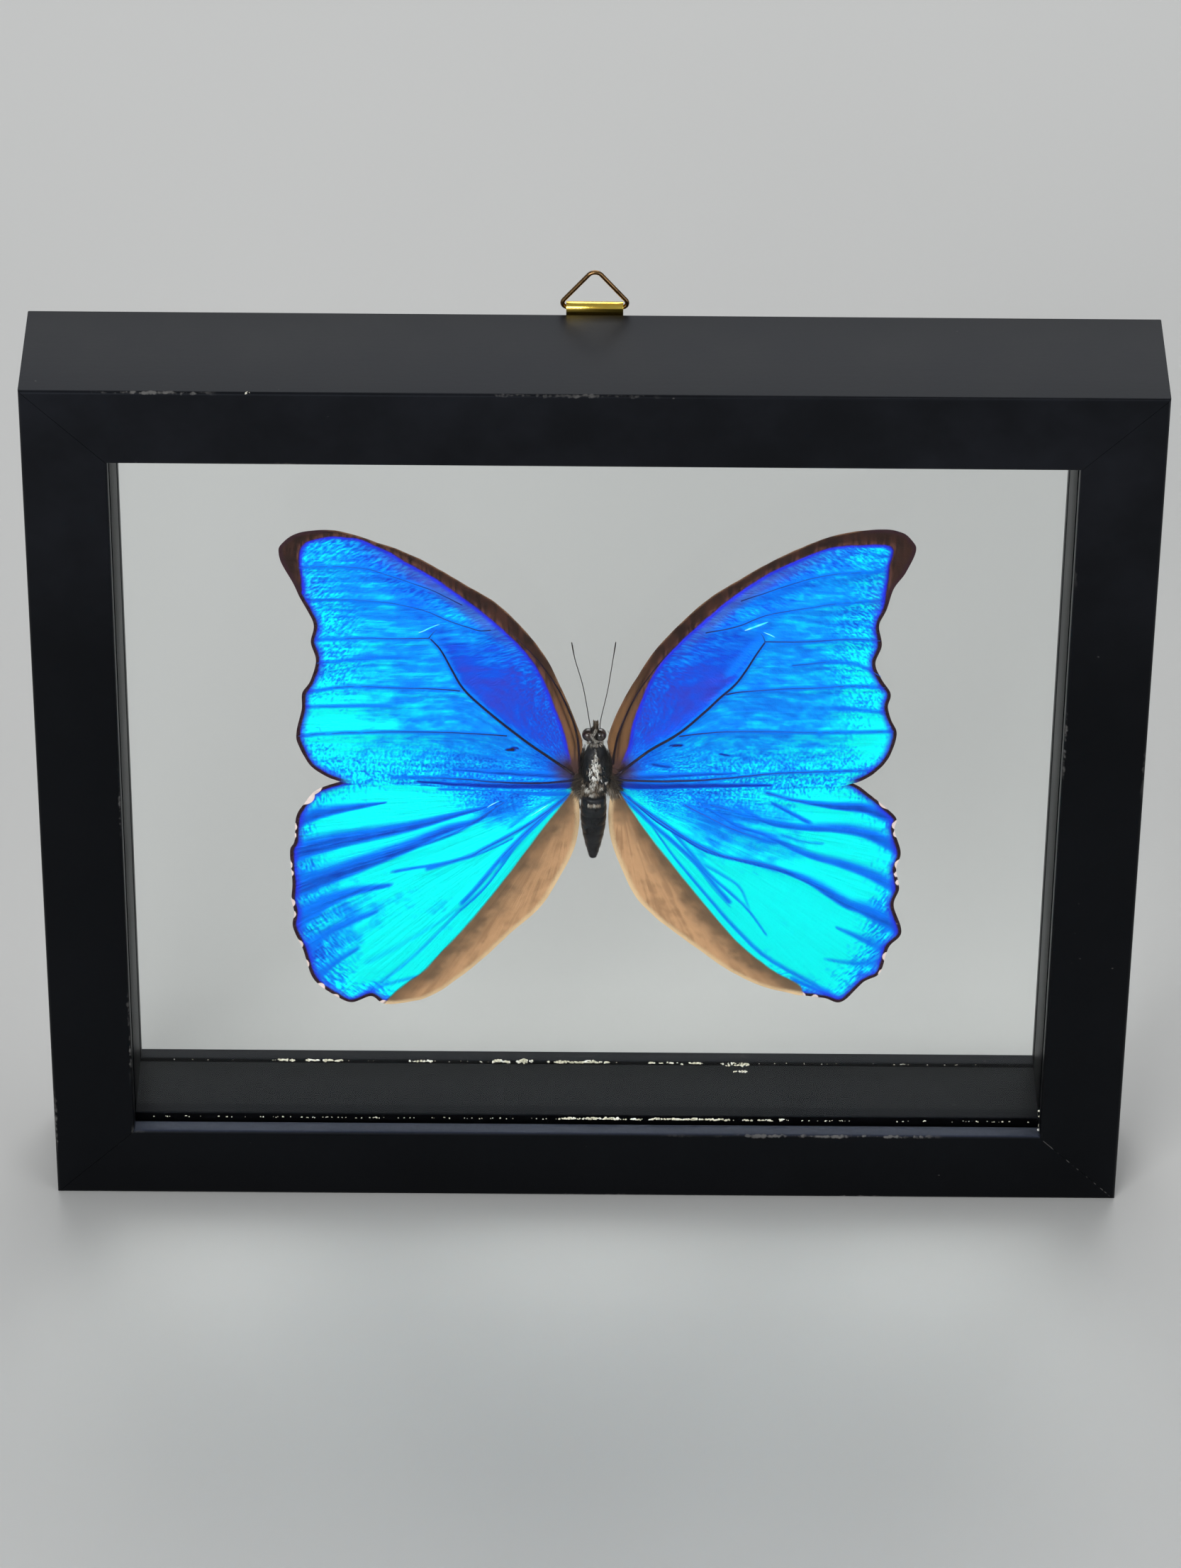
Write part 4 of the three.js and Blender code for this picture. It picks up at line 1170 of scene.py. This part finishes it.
def readings(wing, places, toRim):
    root = numpy.array(wing["root"])
    spread = numpy.linalg.norm(places - root, axis=1)
    values = {"rim": toRim, "spread": spread}
    outward = -1 if root[0] < 0 else 1
    rim = rimOf(wing)
    closed = numpy.vstack([rim, rim[:1]])
    alongRim = nearest(places, closed)[1]
    # how near the outer margin the closest edge is
    outline = numpy.array(wing["outline"])
    first, last = (nearest(outline[[i]], closed)[1][0] for i in wing["outer"])
    values["margin"] = easeArray(alongRim, first - 0.02, first) * (1 - easeArray(alongRim, last, last + 0.02))
    # painted shade: darker streaks beside the veins and folds, sharp on one side and soft on the other, with
    # a few real dark spots among them
    streak = numpy.zeros(len(places))
    for route, start, end, strength in wing["streaks"]:
        distance, share, side = nearest(places, roundRoute(route, shading["streakSteps"]))
        sharpness = numpy.where(side * outward < 0, shading["steepSide"], shading["softSide"])
        width = (start + (end - start) * share) / sharpness
        fade = 1 - easeArray(distance / width, 0, shading["streakReach"])
        streak = numpy.maximum(streak, strength * fade)
    # painted shade: a soft darker halo round each vein
    for route, *_ in wing["veins"]:
        distance = nearest(places, roundRoute(route, blade["veinSteps"]))[0]
        fade = 1 - easeArray(distance, *shading["veinReach"])
        streak = numpy.maximum(streak, shading["veinStrength"] * fade)
    values["streak"] = streak
    values["fold"] = pastFold(wing, places)
    if "border" in wing:
        borderLine = roundRoute(wing["border"], shading["borderSteps"])
        distance, share, side = nearest(places, borderLine)
        values["border"] = distance * numpy.sign(side) * outward
        across = toRim / (toRim + distance + 0.01)
        twoBands = numpy.abs(numpy.sin(2 * math.pi * across)) ** 0.7
        values["warm"] = (1 - easeArray(share, 0.1, 0.3)) * easeArray(share, 0.01, 0.04) * twoBands
        distance, share, side = nearest(places, roundRoute(wing["cell"], shading["cellSteps"]))
        inCell = easeArray(side * outward, -1.2, 2.5)
        inCell *= 1 - easeArray(places[:, 1] - 0.5 * abs(places[:, 0]), *wing["cellEnd"])
        # the blue lightens from root to margin, partly as the wing's own colour and partly as painted sheen
        low, high = wing["bright"]
        reach = spread / (spread + toRim * 1.25)
        tone = low + (high - low) * easeArray(reach, 0.15, 0.6)
        # towards the tip, the blue darkens along the border
        nearBorder = 1 - easeArray(-values["border"], 0, shading["borderReach"])
        dip = shading["borderDip"] * nearBorder * (1 - inCell)
        tone = tone - dip * (1 - easeArray(numpy.abs(places[:, 0]), 42, 62))
        cellTone = shading["cellTone"] + shading["cellRootTone"] * easeArray(spread, 30, 6)
        tone = tone * (1 - inCell) + inCell * cellTone
        values["tone"] = tone + glow(wing, places)
    else:
        values["border"] = numpy.full(len(places), -99.0)
        values["warm"] = numpy.zeros(len(places))
        dip = shading["rimDip"] * (1 - easeArray(toRim, 1.5, 8))
        values["tone"] = shading["hindTone"] + glow(wing, places) - dip
    fringe = numpy.zeros(len(places))
    for x, z, halfLength, thickness in wing.get("fringe", []):
        distance = numpy.linalg.norm(places - (x, z), axis=1)
        fringe = numpy.maximum(fringe, thickness * (1 - (distance / halfLength) ** 2))
    values["fringe"] = fringe
    spots = [numpy.linalg.norm(places - (x, z), axis=1) / radius for x, z, radius in wing["eyespots"]]
    values["eyespot"] = numpy.minimum.reduce(spots)
    return values


fanShape = {"levelling": 30, "turnsFrom": 14, "turnsOver": 24, "unit": 60}  # millimetres


# Across the veins and along them: veins spread from the root and run level in the outer forewing.
def fanPlace(wing, x, z):
    side = -1 if wing["root"][0] < 0 else 1
    spread = math.hypot(x, z)
    angle = abs(math.atan2(x, z - 0.001))
    if "border" in wing:
        level = math.pi / 2 - z / fanShape["levelling"]
        share = min(1, max(0, (spread - fanShape["turnsFrom"]) / fanShape["turnsOver"]))
        angle += (level - angle) * share * share * (3 - 2 * share)
    return side * angle, spread / fanShape["unit"]


def makeWing(name, wing, top, underside):
    rim = rimOf(wing)
    root = numpy.array(wing["root"])
    bm = bmesh.new()
    bmesh.ops.create_grid(bm, x_segments=blade["around"], y_segments=blade["rings"], size=0.5)
    for vert in bm.verts:
        step = round((vert.co.x + 0.5) * blade["around"]) % blade["around"]
        reach = 1 - (0.5 - vert.co.y) ** blade["crowd"]
        x, z = root + (rim[step] - root) * reach
        vert.co = (x, 0, z)
    bmesh.ops.remove_doubles(bm, verts=bm.verts, dist=1e-4)
    bmesh.ops.dissolve_degenerate(bm, edges=bm.edges, dist=1e-4)
    turnOutward(bm)
    if bm.faces[0].normal.y > 0:
        bmesh.ops.reverse_faces(bm, faces=bm.faces)
    places = numpy.array([(vert.co.x, vert.co.z) for vert in bm.verts])
    depth, toRim = depthAt(wing, places)
    values = readings(wing, places, toRim)
    for reading, numbers in values.items():
        layer = bm.verts.layers.float.new(reading)
        for vert, number in zip(bm.verts, numbers):
            vert[layer] = number
    gain = blade["thickness"] - blade["edgeThickness"]
    half = (blade["edgeThickness"] + gain * easeArray(toRim, 0, 3)) / 2
    thick = bm.verts.layers.float.new("thick")
    for vert, y, part in zip(bm.verts, depth, half):
        vert.co.y = y - part
        vert[thick] = 2 * part
    fan = bm.loops.layers.uv.new("fan")
    for face in bm.faces:
        for loop in face.loops:
            loop[fan].uv = fanPlace(wing, loop.vert.co.x - root[0], loop.vert.co.z - root[1])
    pushed = bmesh.ops.extrude_face_region(bm, geom=bm.faces[:], use_keep_orig=True)["geom"]
    for part in pushed:
        if isinstance(part, bmesh.types.BMVert):
            part.co.y += part[thick]
        elif isinstance(part, bmesh.types.BMFace):
            part.material_index = 1
    bm.verts.layers.float.remove(bm.verts.layers.float["thick"])
    turnOutward(bm)
    bmesh.ops.scale(bm, vec=(mm, mm, mm), verts=bm.verts)
    placePiece(name + "_blade", bm, [top, underside], [name], sharp=60)


# Veins and creases stand proud of the wing as fine rods; the crease rods are pale cyan, a painted glint along
# each fold.
def makeVeins(name, wing, veinMaterial, glintMaterial):
    for kind, material in (("veins", veinMaterial), ("creases", glintMaterial)):
        bm = bmesh.new()
        layer = bm.verts.layers.float.new("out")
        for route, start, end, *age in wing[kind]:
            steps = max(6, int(4 * len(route)))
            flat = roundRoute(route, steps)
            depth, _ = depthAt(wing, flat)
            taper = [1 if age else max(0.15, math.sin(math.pi * i / (steps - 1))) for i in range(steps)]
            radii = [(start + (end - start) * i / (steps - 1)) * taper[i] for i in range(steps)]
            # thick veins sit further forward, so that none shows on the underside
            forward = [max(0, radius - 0.1) for radius in radii]
            places = [Vector((x, y - f, z)) * mm for (x, z), y, f in zip(flat, depth, forward)]
            made = addRod(bm, places, [radius * mm for radius in radii], 6)
            first, last = (*age, 1)[:2] if age else (1, 1)
            for i, vert in enumerate(made):
                vert[layer] = first + (last - first) * i / len(made)
        turnOutward(bm)
        placePiece(f"{name}_{kind}", bm, [material])


def makeWings():
    tops = {"fore": wingTop("forewing_blue", 0.45), "hind": wingTop("hindwing_blue", 1)}
    underside = wingUnderside()
    veins = veinFinish()
    creases = creaseFinish()
    for name, wing in wings.items():
        makeWing(name, wing, tops["fore" if "border" in wing else "hind"], underside)
        makeVeins(name, wing, veins, creases)
    print("wings made")


thorax = {
    "centre": (1.3, 1.0),
    "profile": [
        (0, 107.7), (1.3, 107.8), (2.2, 108.5), (2.8, 109.7), (3.2, 111.6), (3.3, 113.8), (3.2, 116),
        (2.9, 118.2), (2.3, 120), (1.4, 121.5), (0, 122.1),
    ],
    "hairs": 5600,
    "hairZone": (108, 121.8),
    "hairLength": (0.7, 1.5),
    "patch": 115.4,  # height of the middle of the pale diamond
    "rear": 112.6,  # brown and grey hair below this height
    "tufts": [  # middle, reach across and along, how many, lightness, outward lean
        ((-1.9, -0.2, 109.4), (0.7, 1.0), 420, (0.42, 0.8), (0, 0.5)),
        ((5, -0.2, 109.4), (0.65, 0.9), 400, (0.42, 0.8), (0, 0.5)),
        ((-2.9, 0.3, 109), (0.4, 0.9), 300, (0.3, 0.6), (0, 0.4)),
        ((5.5, 0.3, 109), (0.4, 0.9), 300, (0.3, 0.6), (0, 0.4)),
        ((-2.1, 0.4, 115.6), (0.4, 3.0), 700, (0.0, 0.3), (0, 0.5)),
        ((4.6, 0.4, 116), (0.4, 3.0), 700, (0.0, 0.3), (0, 0.5)),
        ((-2.7, -0.6, 111.8), (0.5, 1.3), 800, (0.05, 0.34), (0.7, 4)),
        ((5.5, -0.6, 111.8), (0.5, 1.3), 800, (0.05, 0.34), (0.7, 4)),
    ],
}
abdomen = {
    "centre": (0.8, 1.0),
    "tip": 88.9,
    "top": 107.2,
    "radii": [0.75, 1.45, 2.05, 2.55, 2.88, 3.0, 3.0, 2.75],
    "hairs": 2000,
    "hairLength": (0.2, 0.5),
    "band": 105.95,  # height of a short pale band across the front
    "bandHairs": 130,
    "bandTurns": (-2.05, -1),
    "bandReach": 2.95,
}
head = {
    "centre": Vector((0.8, 0.5, 124.7)),
    "radius": 1.75,
    "eyeRadius": 1.52,
    "eyeOffset": (1.42, -0.4, 0.15),
    "palpBase": (0.3, -0.5, 1.4),
    "palp": [(0, 0, 0), (0.05, -0.2, 1), (0.1, -0.1, 2.1), (0.2, 0.1, 3)],
    "palpRadii": [0.3, 0.32, 0.2, 0.03],
    "hairs": 1000,
    "collar": (1, 0.6, 122.6),
    "collarReach": 1.5,
    "collarHairs": 260,
    "palpHairs": 160,
}
tongue = {
    "coil": (2.1, 0.6),  # middle of the coil, behind and above that of the head
    "steps": 60,
    "halfTurns": 5,
    "reach": 1.15,
    "shrink": 0.9,
    "thickness": 0.16,
    "taper": 0.0011,
}
antennae = {
    "left": [
        (-0.1, -0.1, 126.8), (-0.5, -0.5, 130), (-1.9, -1.1, 139.2), (-3.8, -1.6, 147.2), (-4.6, -2, 152.2),
    ],
    "right": [
        (2.1, -0.1, 126.8), (2.3, -0.5, 129.8), (3.7, -1, 137.8), (4.7, -1.6, 145.7), (5.5, -2, 152.4),
    ],
    "rings": 46,
    "thickness": 0.09,
    "ringSwell": 0.018,
    "clubSwell": 0.05,
}
legShape = {
    "steps": 26,
    "hairsPerStep": 6,
    "thickness": 0.36,
    "taper": 0.22,
    "knees": (0.3, 0.64),
    "kneeSwell": 0.07,
}
legRoutes = {
    "middle_leg": [(1.5, 4.6, 116.4), (4.4, 6.4, 113.4), (7.4, 6.8, 108.8), (6, 6.6, 103.2)],
    "hind_leg": [(2.7, 4.4, 113.2), (4.8, 7, 108.2), (4.4, 7.8, 102.8), (3.6, 7.6, 98.2)],
}


glueDab = {
    "profile": [  # radius and height
        (0, 0), (0.9, 0.02), (1.25, 0.25), (1.35, 0.8), (1.15, 1.9),
        (1.2, 3.2), (1.5, 4.4), (1.9, 5.0), (1.8, 5.08), (0, 5.1),
    ],
}


def spoke(turn):
    return Vector((math.cos(turn), math.sin(turn), 0))


def radiusAt(profile, height):
    radii, heights = zip(*profile)
    return float(numpy.interp(height, heights, radii))


# Grows straight hairs; each is (root, direction, length, radius, shade).
def makeHair(name, hairs, material):
    batch = 150  # a large bmesh is slow to grow
    whole = bmesh.new()
    for first in range(0, len(hairs), batch):
        bm = bmesh.new()
        layer = bm.verts.layers.float.new("hairShade")
        for root, direction, length, radius, shade in hairs[first:first + batch]:
            turn = direction.to_track_quat("Z", "Y").to_matrix().to_4x4()
            where = Matrix.Translation((root + direction * length * 0.5) * mm) @ turn
            cone = bmesh.ops.create_cone(
                bm, cap_ends=True, cap_tris=True, segments=3, radius1=radius * mm, radius2=radius * 0.12 * mm,
                depth=length * mm, matrix=where,
            )
            for vert in cone["verts"]:
                vert[layer] = shade
        tuft = bpy.data.meshes.new("tuft")
        bm.to_mesh(tuft)
        bm.free()
        whole.from_mesh(tuft)
        bpy.data.meshes.remove(tuft)
    placePiece(name, whole, [material])


def makeThorax(chitin, hair):
    x, y = thorax["centre"]
    bm = bmesh.new()
    addTurned(bm, [(r * mm, z * mm) for r, z in thorax["profile"]], (x * mm, y * mm, 0), 36)
    bmesh.ops.subdivide_edges(bm, edges=bm.edges, cuts=1, use_grid_fill=True)
    for vert in bm.verts:
        lump = noise.noise(vert.co / mm * 0.55) * 0.25 + noise.noise(vert.co / mm * 1.6) * 0.12
        vert.co += vert.normal * lump * mm
    piece = placePiece("thorax_shell", bm, [chitin], ["thorax"])
    smooth = piece.modifiers.new("smooth", "SUBSURF")
    smooth.levels = smooth.render_levels = 1
    hairs = []
    for _ in range(thorax["hairs"]):
        z = random.uniform(*thorax["hairZone"])
        out = spoke(random.uniform(0, 2 * math.pi))
        root = Vector((x, y, z)) + out * radiusAt(thorax["profile"], z) * 0.97
        lean = Vector((random.gauss(0, 0.22), random.gauss(0, 0.2), -0.9 + random.gauss(0, 0.25)))
        clump = noise.noise((root.x * 1.1, 1.7, root.z * 0.8))
        length = random.uniform(*thorax["hairLength"])
        thickness = random.uniform(0.045, 0.075)
        lift = 0.3
        diamond = 1.7 - abs(root.x - x + 0.1) * 0.75 - abs(z - thorax["patch"]) * 0.27
        if out.y < -0.2 and random.random() < diamond:
            tint = min(1, max(0.3, 0.78 + clump * 0.9 + random.gauss(0, 0.05)))
            length *= 0.7
            thickness *= 2.6
            lift = 0.2
        elif z < thorax["rear"]:
            tint = min(0.95, max(0.05, 0.42 + clump * 1.5 + random.gauss(0, 0.1)))
            thickness *= 2
            length *= 0.7
            lift = 0.6
        else:
            tint = random.uniform(0, 0.1)
            length *= 0.7
        hairs.append((root, (out * lift + lean).normalized(), length, thickness, tint))
    # tan tufts where the hindwings join, dark ones where the forewings join
    for centre, reach, count, tints, outward in thorax["tufts"]:
        side = -1 if centre[0] < x else 1
        for _ in range(count):
            spot = Vector((random.gauss(0, reach[0]), random.uniform(0, 1.6), random.gauss(0, reach[1])))
            lean = Vector((side * random.uniform(*outward), random.gauss(-0.1, 0.2), -1))
            lean.z += random.gauss(0, 0.2 + outward[0])
            length = random.uniform(1.2, 2.4)
            hairs.append((Vector(centre) + spot, lean.normalized(), length, 0.07, random.uniform(*tints)))
    makeHair("thorax_hair", hairs, hair)
    print("thorax made")


def abdomenProfile():
    ringLength = (abdomen["top"] - abdomen["tip"]) / (len(abdomen["radii"]) - 1)
    profile = [(0, abdomen["tip"])]
    for i, (low, high) in enumerate(zip(abdomen["radii"], abdomen["radii"][1:])):
        start = abdomen["tip"] + i * ringLength
        for share, swell in ((0.12, 0.98), (0.3, 1.02), (0.55, 1.03), (0.8, 1.02), (0.94, 1.0), (1.0, 0.96)):
            profile.append(((low + (high - low) * share) * swell, start + share * ringLength))
    profile.append((abdomen["radii"][-1] * 0.75, abdomen["top"] + 0.1))
    profile.append((0, abdomen["top"] + 0.2))
    return profile


def makeAbdomen(chitin, hair):
    x, y = abdomen["centre"]
    bm = bmesh.new()
    profile = abdomenProfile()
    addTurned(bm, [(r * mm, z * mm) for r, z in profile], (x * mm, y * mm, 0), 40)
    placePiece("abdomen_shell", bm, [chitin], ["abdomen"])
    hairs = []
    for _ in range(abdomen["hairs"]):
        z = abdomen["tip"] + (abdomen["top"] - abdomen["tip"]) * random.random() ** 0.8
        out = spoke(random.uniform(0, 2 * math.pi))
        root = Vector((x, y, z)) + out * radiusAt(profile, z) * 0.98
        direction = (out * 0.2 + Vector((0, 0, -1)) + Vector((random.gauss(0, 0.1), 0, 0))).normalized()
        shade = random.uniform(0.3, 0.5) if random.random() < 0.03 else random.uniform(0, 0.16)
        length = random.uniform(*abdomen["hairLength"])
        hairs.append((root, direction, length, random.uniform(0.03, 0.05), shade))
    for _ in range(abdomen["bandHairs"]):
        out = spoke(random.uniform(*abdomen["bandTurns"]))
        root = Vector((x, y, abdomen["band"])) + out * abdomen["bandReach"]
        clump = noise.noise((root.x * 1.6, 5, 2))
        root.z += clump * 0.5 + random.gauss(0, 0.22)
        direction = (out * 0.3 + Vector((random.gauss(0, 0.3), 0, -1))).normalized()
        hairs.append((root, direction, random.uniform(0.3, 0.6), 0.08, min(1, 0.7 + clump * 0.6)))
    makeHair("abdomen_hair", hairs, hair)
    print("abdomen made")


def makeHead(chitin, eye, hair):
    centre = head["centre"]
    bm = bmesh.new()
    place = Matrix.Translation(centre * mm) @ Matrix.Diagonal((0.92, 1.0, 0.95, 1))
    bmesh.ops.create_uvsphere(bm, u_segments=32, v_segments=20, radius=head["radius"] * mm, matrix=place)
    palpX, palpY, palpZ = head["palpBase"]
    for side in (-1, 1):
        base = centre + Vector((palpX + side * palpX, palpY, palpZ))
        route = [(base + Vector((side * x, y, z))) * mm for x, y, z in head["palp"]]
        addRod(bm, route, [radius * mm for radius in head["palpRadii"]], 10)
    # the tongue is coiled under the head
    coil = []
    radii = []
    last = tongue["steps"] - 1
    y, z = tongue["coil"]
    for i in range(last + 1):
        turn = i / last * tongue["halfTurns"] * math.pi
        reach = tongue["reach"] - tongue["shrink"] * i / last
        coil.append((centre + Vector((0, y + reach * math.cos(turn), z + reach * math.sin(turn)))) * mm)
        radii.append(tongue["thickness"] * mm - tongue["taper"] * i * mm)
    addRod(bm, coil, radii, 8)
    turnOutward(bm)
    placePiece("head_shell", bm, [chitin], ["head"])
    eyes = bmesh.new()
    x, y, z = head["eyeOffset"]
    radius = head["eyeRadius"] * mm
    for side in (-1, 1):
        where = centre + Vector((side * x, y, z))
        place = Matrix.Translation(where * mm) @ Matrix.Diagonal((0.95, 1.05, 1.0, 1))
        bmesh.ops.create_uvsphere(eyes, u_segments=36, v_segments=24, radius=radius, matrix=place)
    placePiece("eyes", eyes, [eye])
    hairs = []
    for _ in range(head["hairs"]):
        lean = Vector((random.gauss(0, 0.5), -abs(random.gauss(0.6, 0.5)), random.gauss(0.1, 0.8)))
        lean.normalize()
        root = centre + Vector((lean.x * 0.55, lean.y, lean.z)) * head["radius"] * 0.95
        streakX = 0.35 * math.sin(root.z * 2.2)
        white = abs(root.x - centre.x - streakX) < 0.3 and root.y < centre.y
        shade = random.uniform(0.6, 1) if white else random.uniform(0, 0.25)
        direction = (lean + Vector((random.gauss(0, 0.25), 0, 0.5))).normalized()
        hairs.append((root, direction, random.uniform(0.4, 0.95), 0.085 if white else 0.055, shade))
    # a white collar behind the head
    x, y, z = head["collar"]
    reach = head["collarReach"]
    for _ in range(head["collarHairs"]):
        turn = random.uniform(-0.2, math.pi + 0.2)
        height = z + random.gauss(0, 0.25)
        root = Vector((x + reach * math.cos(turn), y - reach * math.sin(turn), height))
        direction = Vector((math.cos(turn), -math.sin(turn), random.gauss(-0.3, 0.4))).normalized()
        length = random.uniform(0.4, 0.8)
        hairs.append((root, direction, length, 0.07, random.uniform(0.5, 1) * random.choice((0.1, 1, 1))))
    for side in (-1, 1):
        base = centre + Vector((palpX + side * palpX, -0.6, palpZ))
        for _ in range(head["palpHairs"]):
            root = base + Vector((random.gauss(0, 0.16), random.gauss(0, 0.16), random.uniform(0, 2.6)))
            direction = Vector((random.gauss(0, 0.35), -0.3, 1)).normalized()
            hairs.append((root, direction, random.uniform(0.4, 0.9), 0.06, random.uniform(0.2, 0.6)))
    makeHair("head_hair", hairs, hair)
    print("head made")


# A ringed thread that thickens a little into its club.
def makeAntennae(chitin):
    for side in ("left", "right"):
        bm = bmesh.new()
        route = evenRoute(antennae[side], antennae["rings"] * 2 + 1)
        radii = []
        for i in range(len(route)):
            share = numpy.array(i / (len(route) - 1))
            club = antennae["clubSwell"] * easeArray(share, 0.8, 0.95)
            club *= 1 - easeArray(share, 0.96, 1.0) * 0.8
            swell = antennae["ringSwell"] if i % 2 else 0
            radii.append((antennae["thickness"] + float(club) + swell) * mm)
        addRod(bm, [Vector(p) * mm for p in route], radii, 8)
        turnOutward(bm)
        placePiece(side + "_antenna_ringed", bm, [chitin], [side + "_antenna"])
    print("antennae made")


def makeLegs(chitin, hair):
    hairs = []
    steps = legShape["steps"]
    for name, route in legRoutes.items():
        for side, sign in (("left", -1), ("right", 1)):
            bm = bmesh.new()
            points = [Vector((thorax["centre"][0] + sign * x, y, z)) for x, y, z in route]
            even = evenRoute(points, steps)
            radii = []
            for i in range(steps):
                share = i / (steps - 1)
                toKnee = min(abs(share - knee) for knee in legShape["knees"])
                swell = legShape["kneeSwell"] if toKnee < 0.03 else 0
                radii.append((legShape["thickness"] - legShape["taper"] * share + swell) * mm)
                for _ in range(legShape["hairsPerStep"]):
                    out = Vector((random.gauss(0, 1), random.gauss(0, 1), random.gauss(0, 0.4))).normalized()
                    root = Vector(even[i]) + out * radii[-1] / mm * 0.9
                    direction = (out + Vector((0, 0, -0.7))).normalized()
                    length = random.uniform(0.3, 0.6)
                    hairs.append((root, direction, length, 0.03, random.uniform(0, 0.35)))
            addRod(bm, [Vector(p) * mm for p in even], radii, 10)
            turnOutward(bm)
            placePiece(f"{side}_{name}_jointed", bm, [chitin], [f"{side}_{name}"])
    makeHair("leg_hair", hairs, hair)
    print("legs made")


def makeGlue():
    low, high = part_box("clear_glue_dab")
    centre = (low + high) / 2
    reach = high.y - low.y
    profile = glueDab["profile"]
    tall = profile[-1][1]
    bm = bmesh.new()
    addTurned(bm, [(r * mm, h / tall * reach) for r, h in profile], (0, 0, 0), 32)
    layBack(bm, (centre.x, low.y, centre.z))
    placePiece("glue_dab_cast", bm, [clearGlue()], ["clear_glue_dab"])
    print("glue made")


def makeInsect():
    hair = hairFinish()
    black = chitinFinish("black_chitin", (0.002, 0.002, 0.003), (0.012, 0.0125, 0.015), 0.3)
    brown = chitinFinish("dark_brown_chitin", (0.010, 0.006, 0.004), (0.035, 0.022, 0.015), 0.45)
    makeThorax(black, hair)
    makeAbdomen(black, hair)
    makeHead(brown, eyeFinish(), hair)
    makeAntennae(brown)
    makeLegs(brown, hair)
    makeGlue()


studio = {
    "floor": (0.60, 0.60, 0.59),
    "floorReach": 6,
    "sky": (0.93, 0.97, 1),
    "skyStrength": 0.3,
    "lamps": [  # name, place and aim in metres, size, watts
        ("key", (-0.8, -1.7, 0.95), (0, 0, 0.1), 1.1, 23),
        ("fill", (1.5, -1.4, 0.8), (0, 0, 0.1), 1.2, 8),
        ("rear", (0.1, 1.3, 1.5), (0, 0, 0.1), 1.5, 19),
    ],
}


def makeStudio():
    material, shade = startMaterial("pale_floor")
    grain = shade.cloud(shade.place(), 3, 2)
    tint = grain.ease(0.3, 0.7).blend(studio["floor"], tuple(c * 0.985 for c in studio["floor"]))
    endMaterial(material, surfaceOf(shade, Base_Color=tint, Roughness=0.8))
    bm = bmesh.new()
    bmesh.ops.create_grid(bm, x_segments=1, y_segments=1, size=studio["floorReach"])
    mesh = bpy.data.meshes.new("floor")
    bm.to_mesh(mesh)
    bm.free()
    mesh.materials.append(material)
    floor = bpy.data.objects.new("floor", mesh)
    bpy.context.scene.collection.objects.link(floor)
    world = bpy.data.worlds.new("soft_light")
    bpy.context.scene.world = world
    world.use_nodes = True
    background = world.node_tree.nodes["Background"]
    background.inputs[0].default_value = colour(studio["sky"])
    background.inputs[1].default_value = studio["skyStrength"]
    for name, place, aim, size, watts in studio["lamps"]:
        data = bpy.data.lights.new(name, "AREA")
        data.size = size
        data.energy = watts
        lamp = bpy.data.objects.new(name, data)
        turn = (Vector(aim) - Vector(place)).to_track_quat("-Z", "Y")
        lamp.matrix_world = Matrix.LocRotScale(Vector(place), turn, None)
        bpy.context.scene.collection.objects.link(lamp)
    bpy.context.scene.view_settings.view_transform = "Standard"
    print("studio made")


makeCamera()
makeStudio()
makeFrame()
makeFlakes()
makeRing()
makeStrap()
makeWings()
makeInsect()
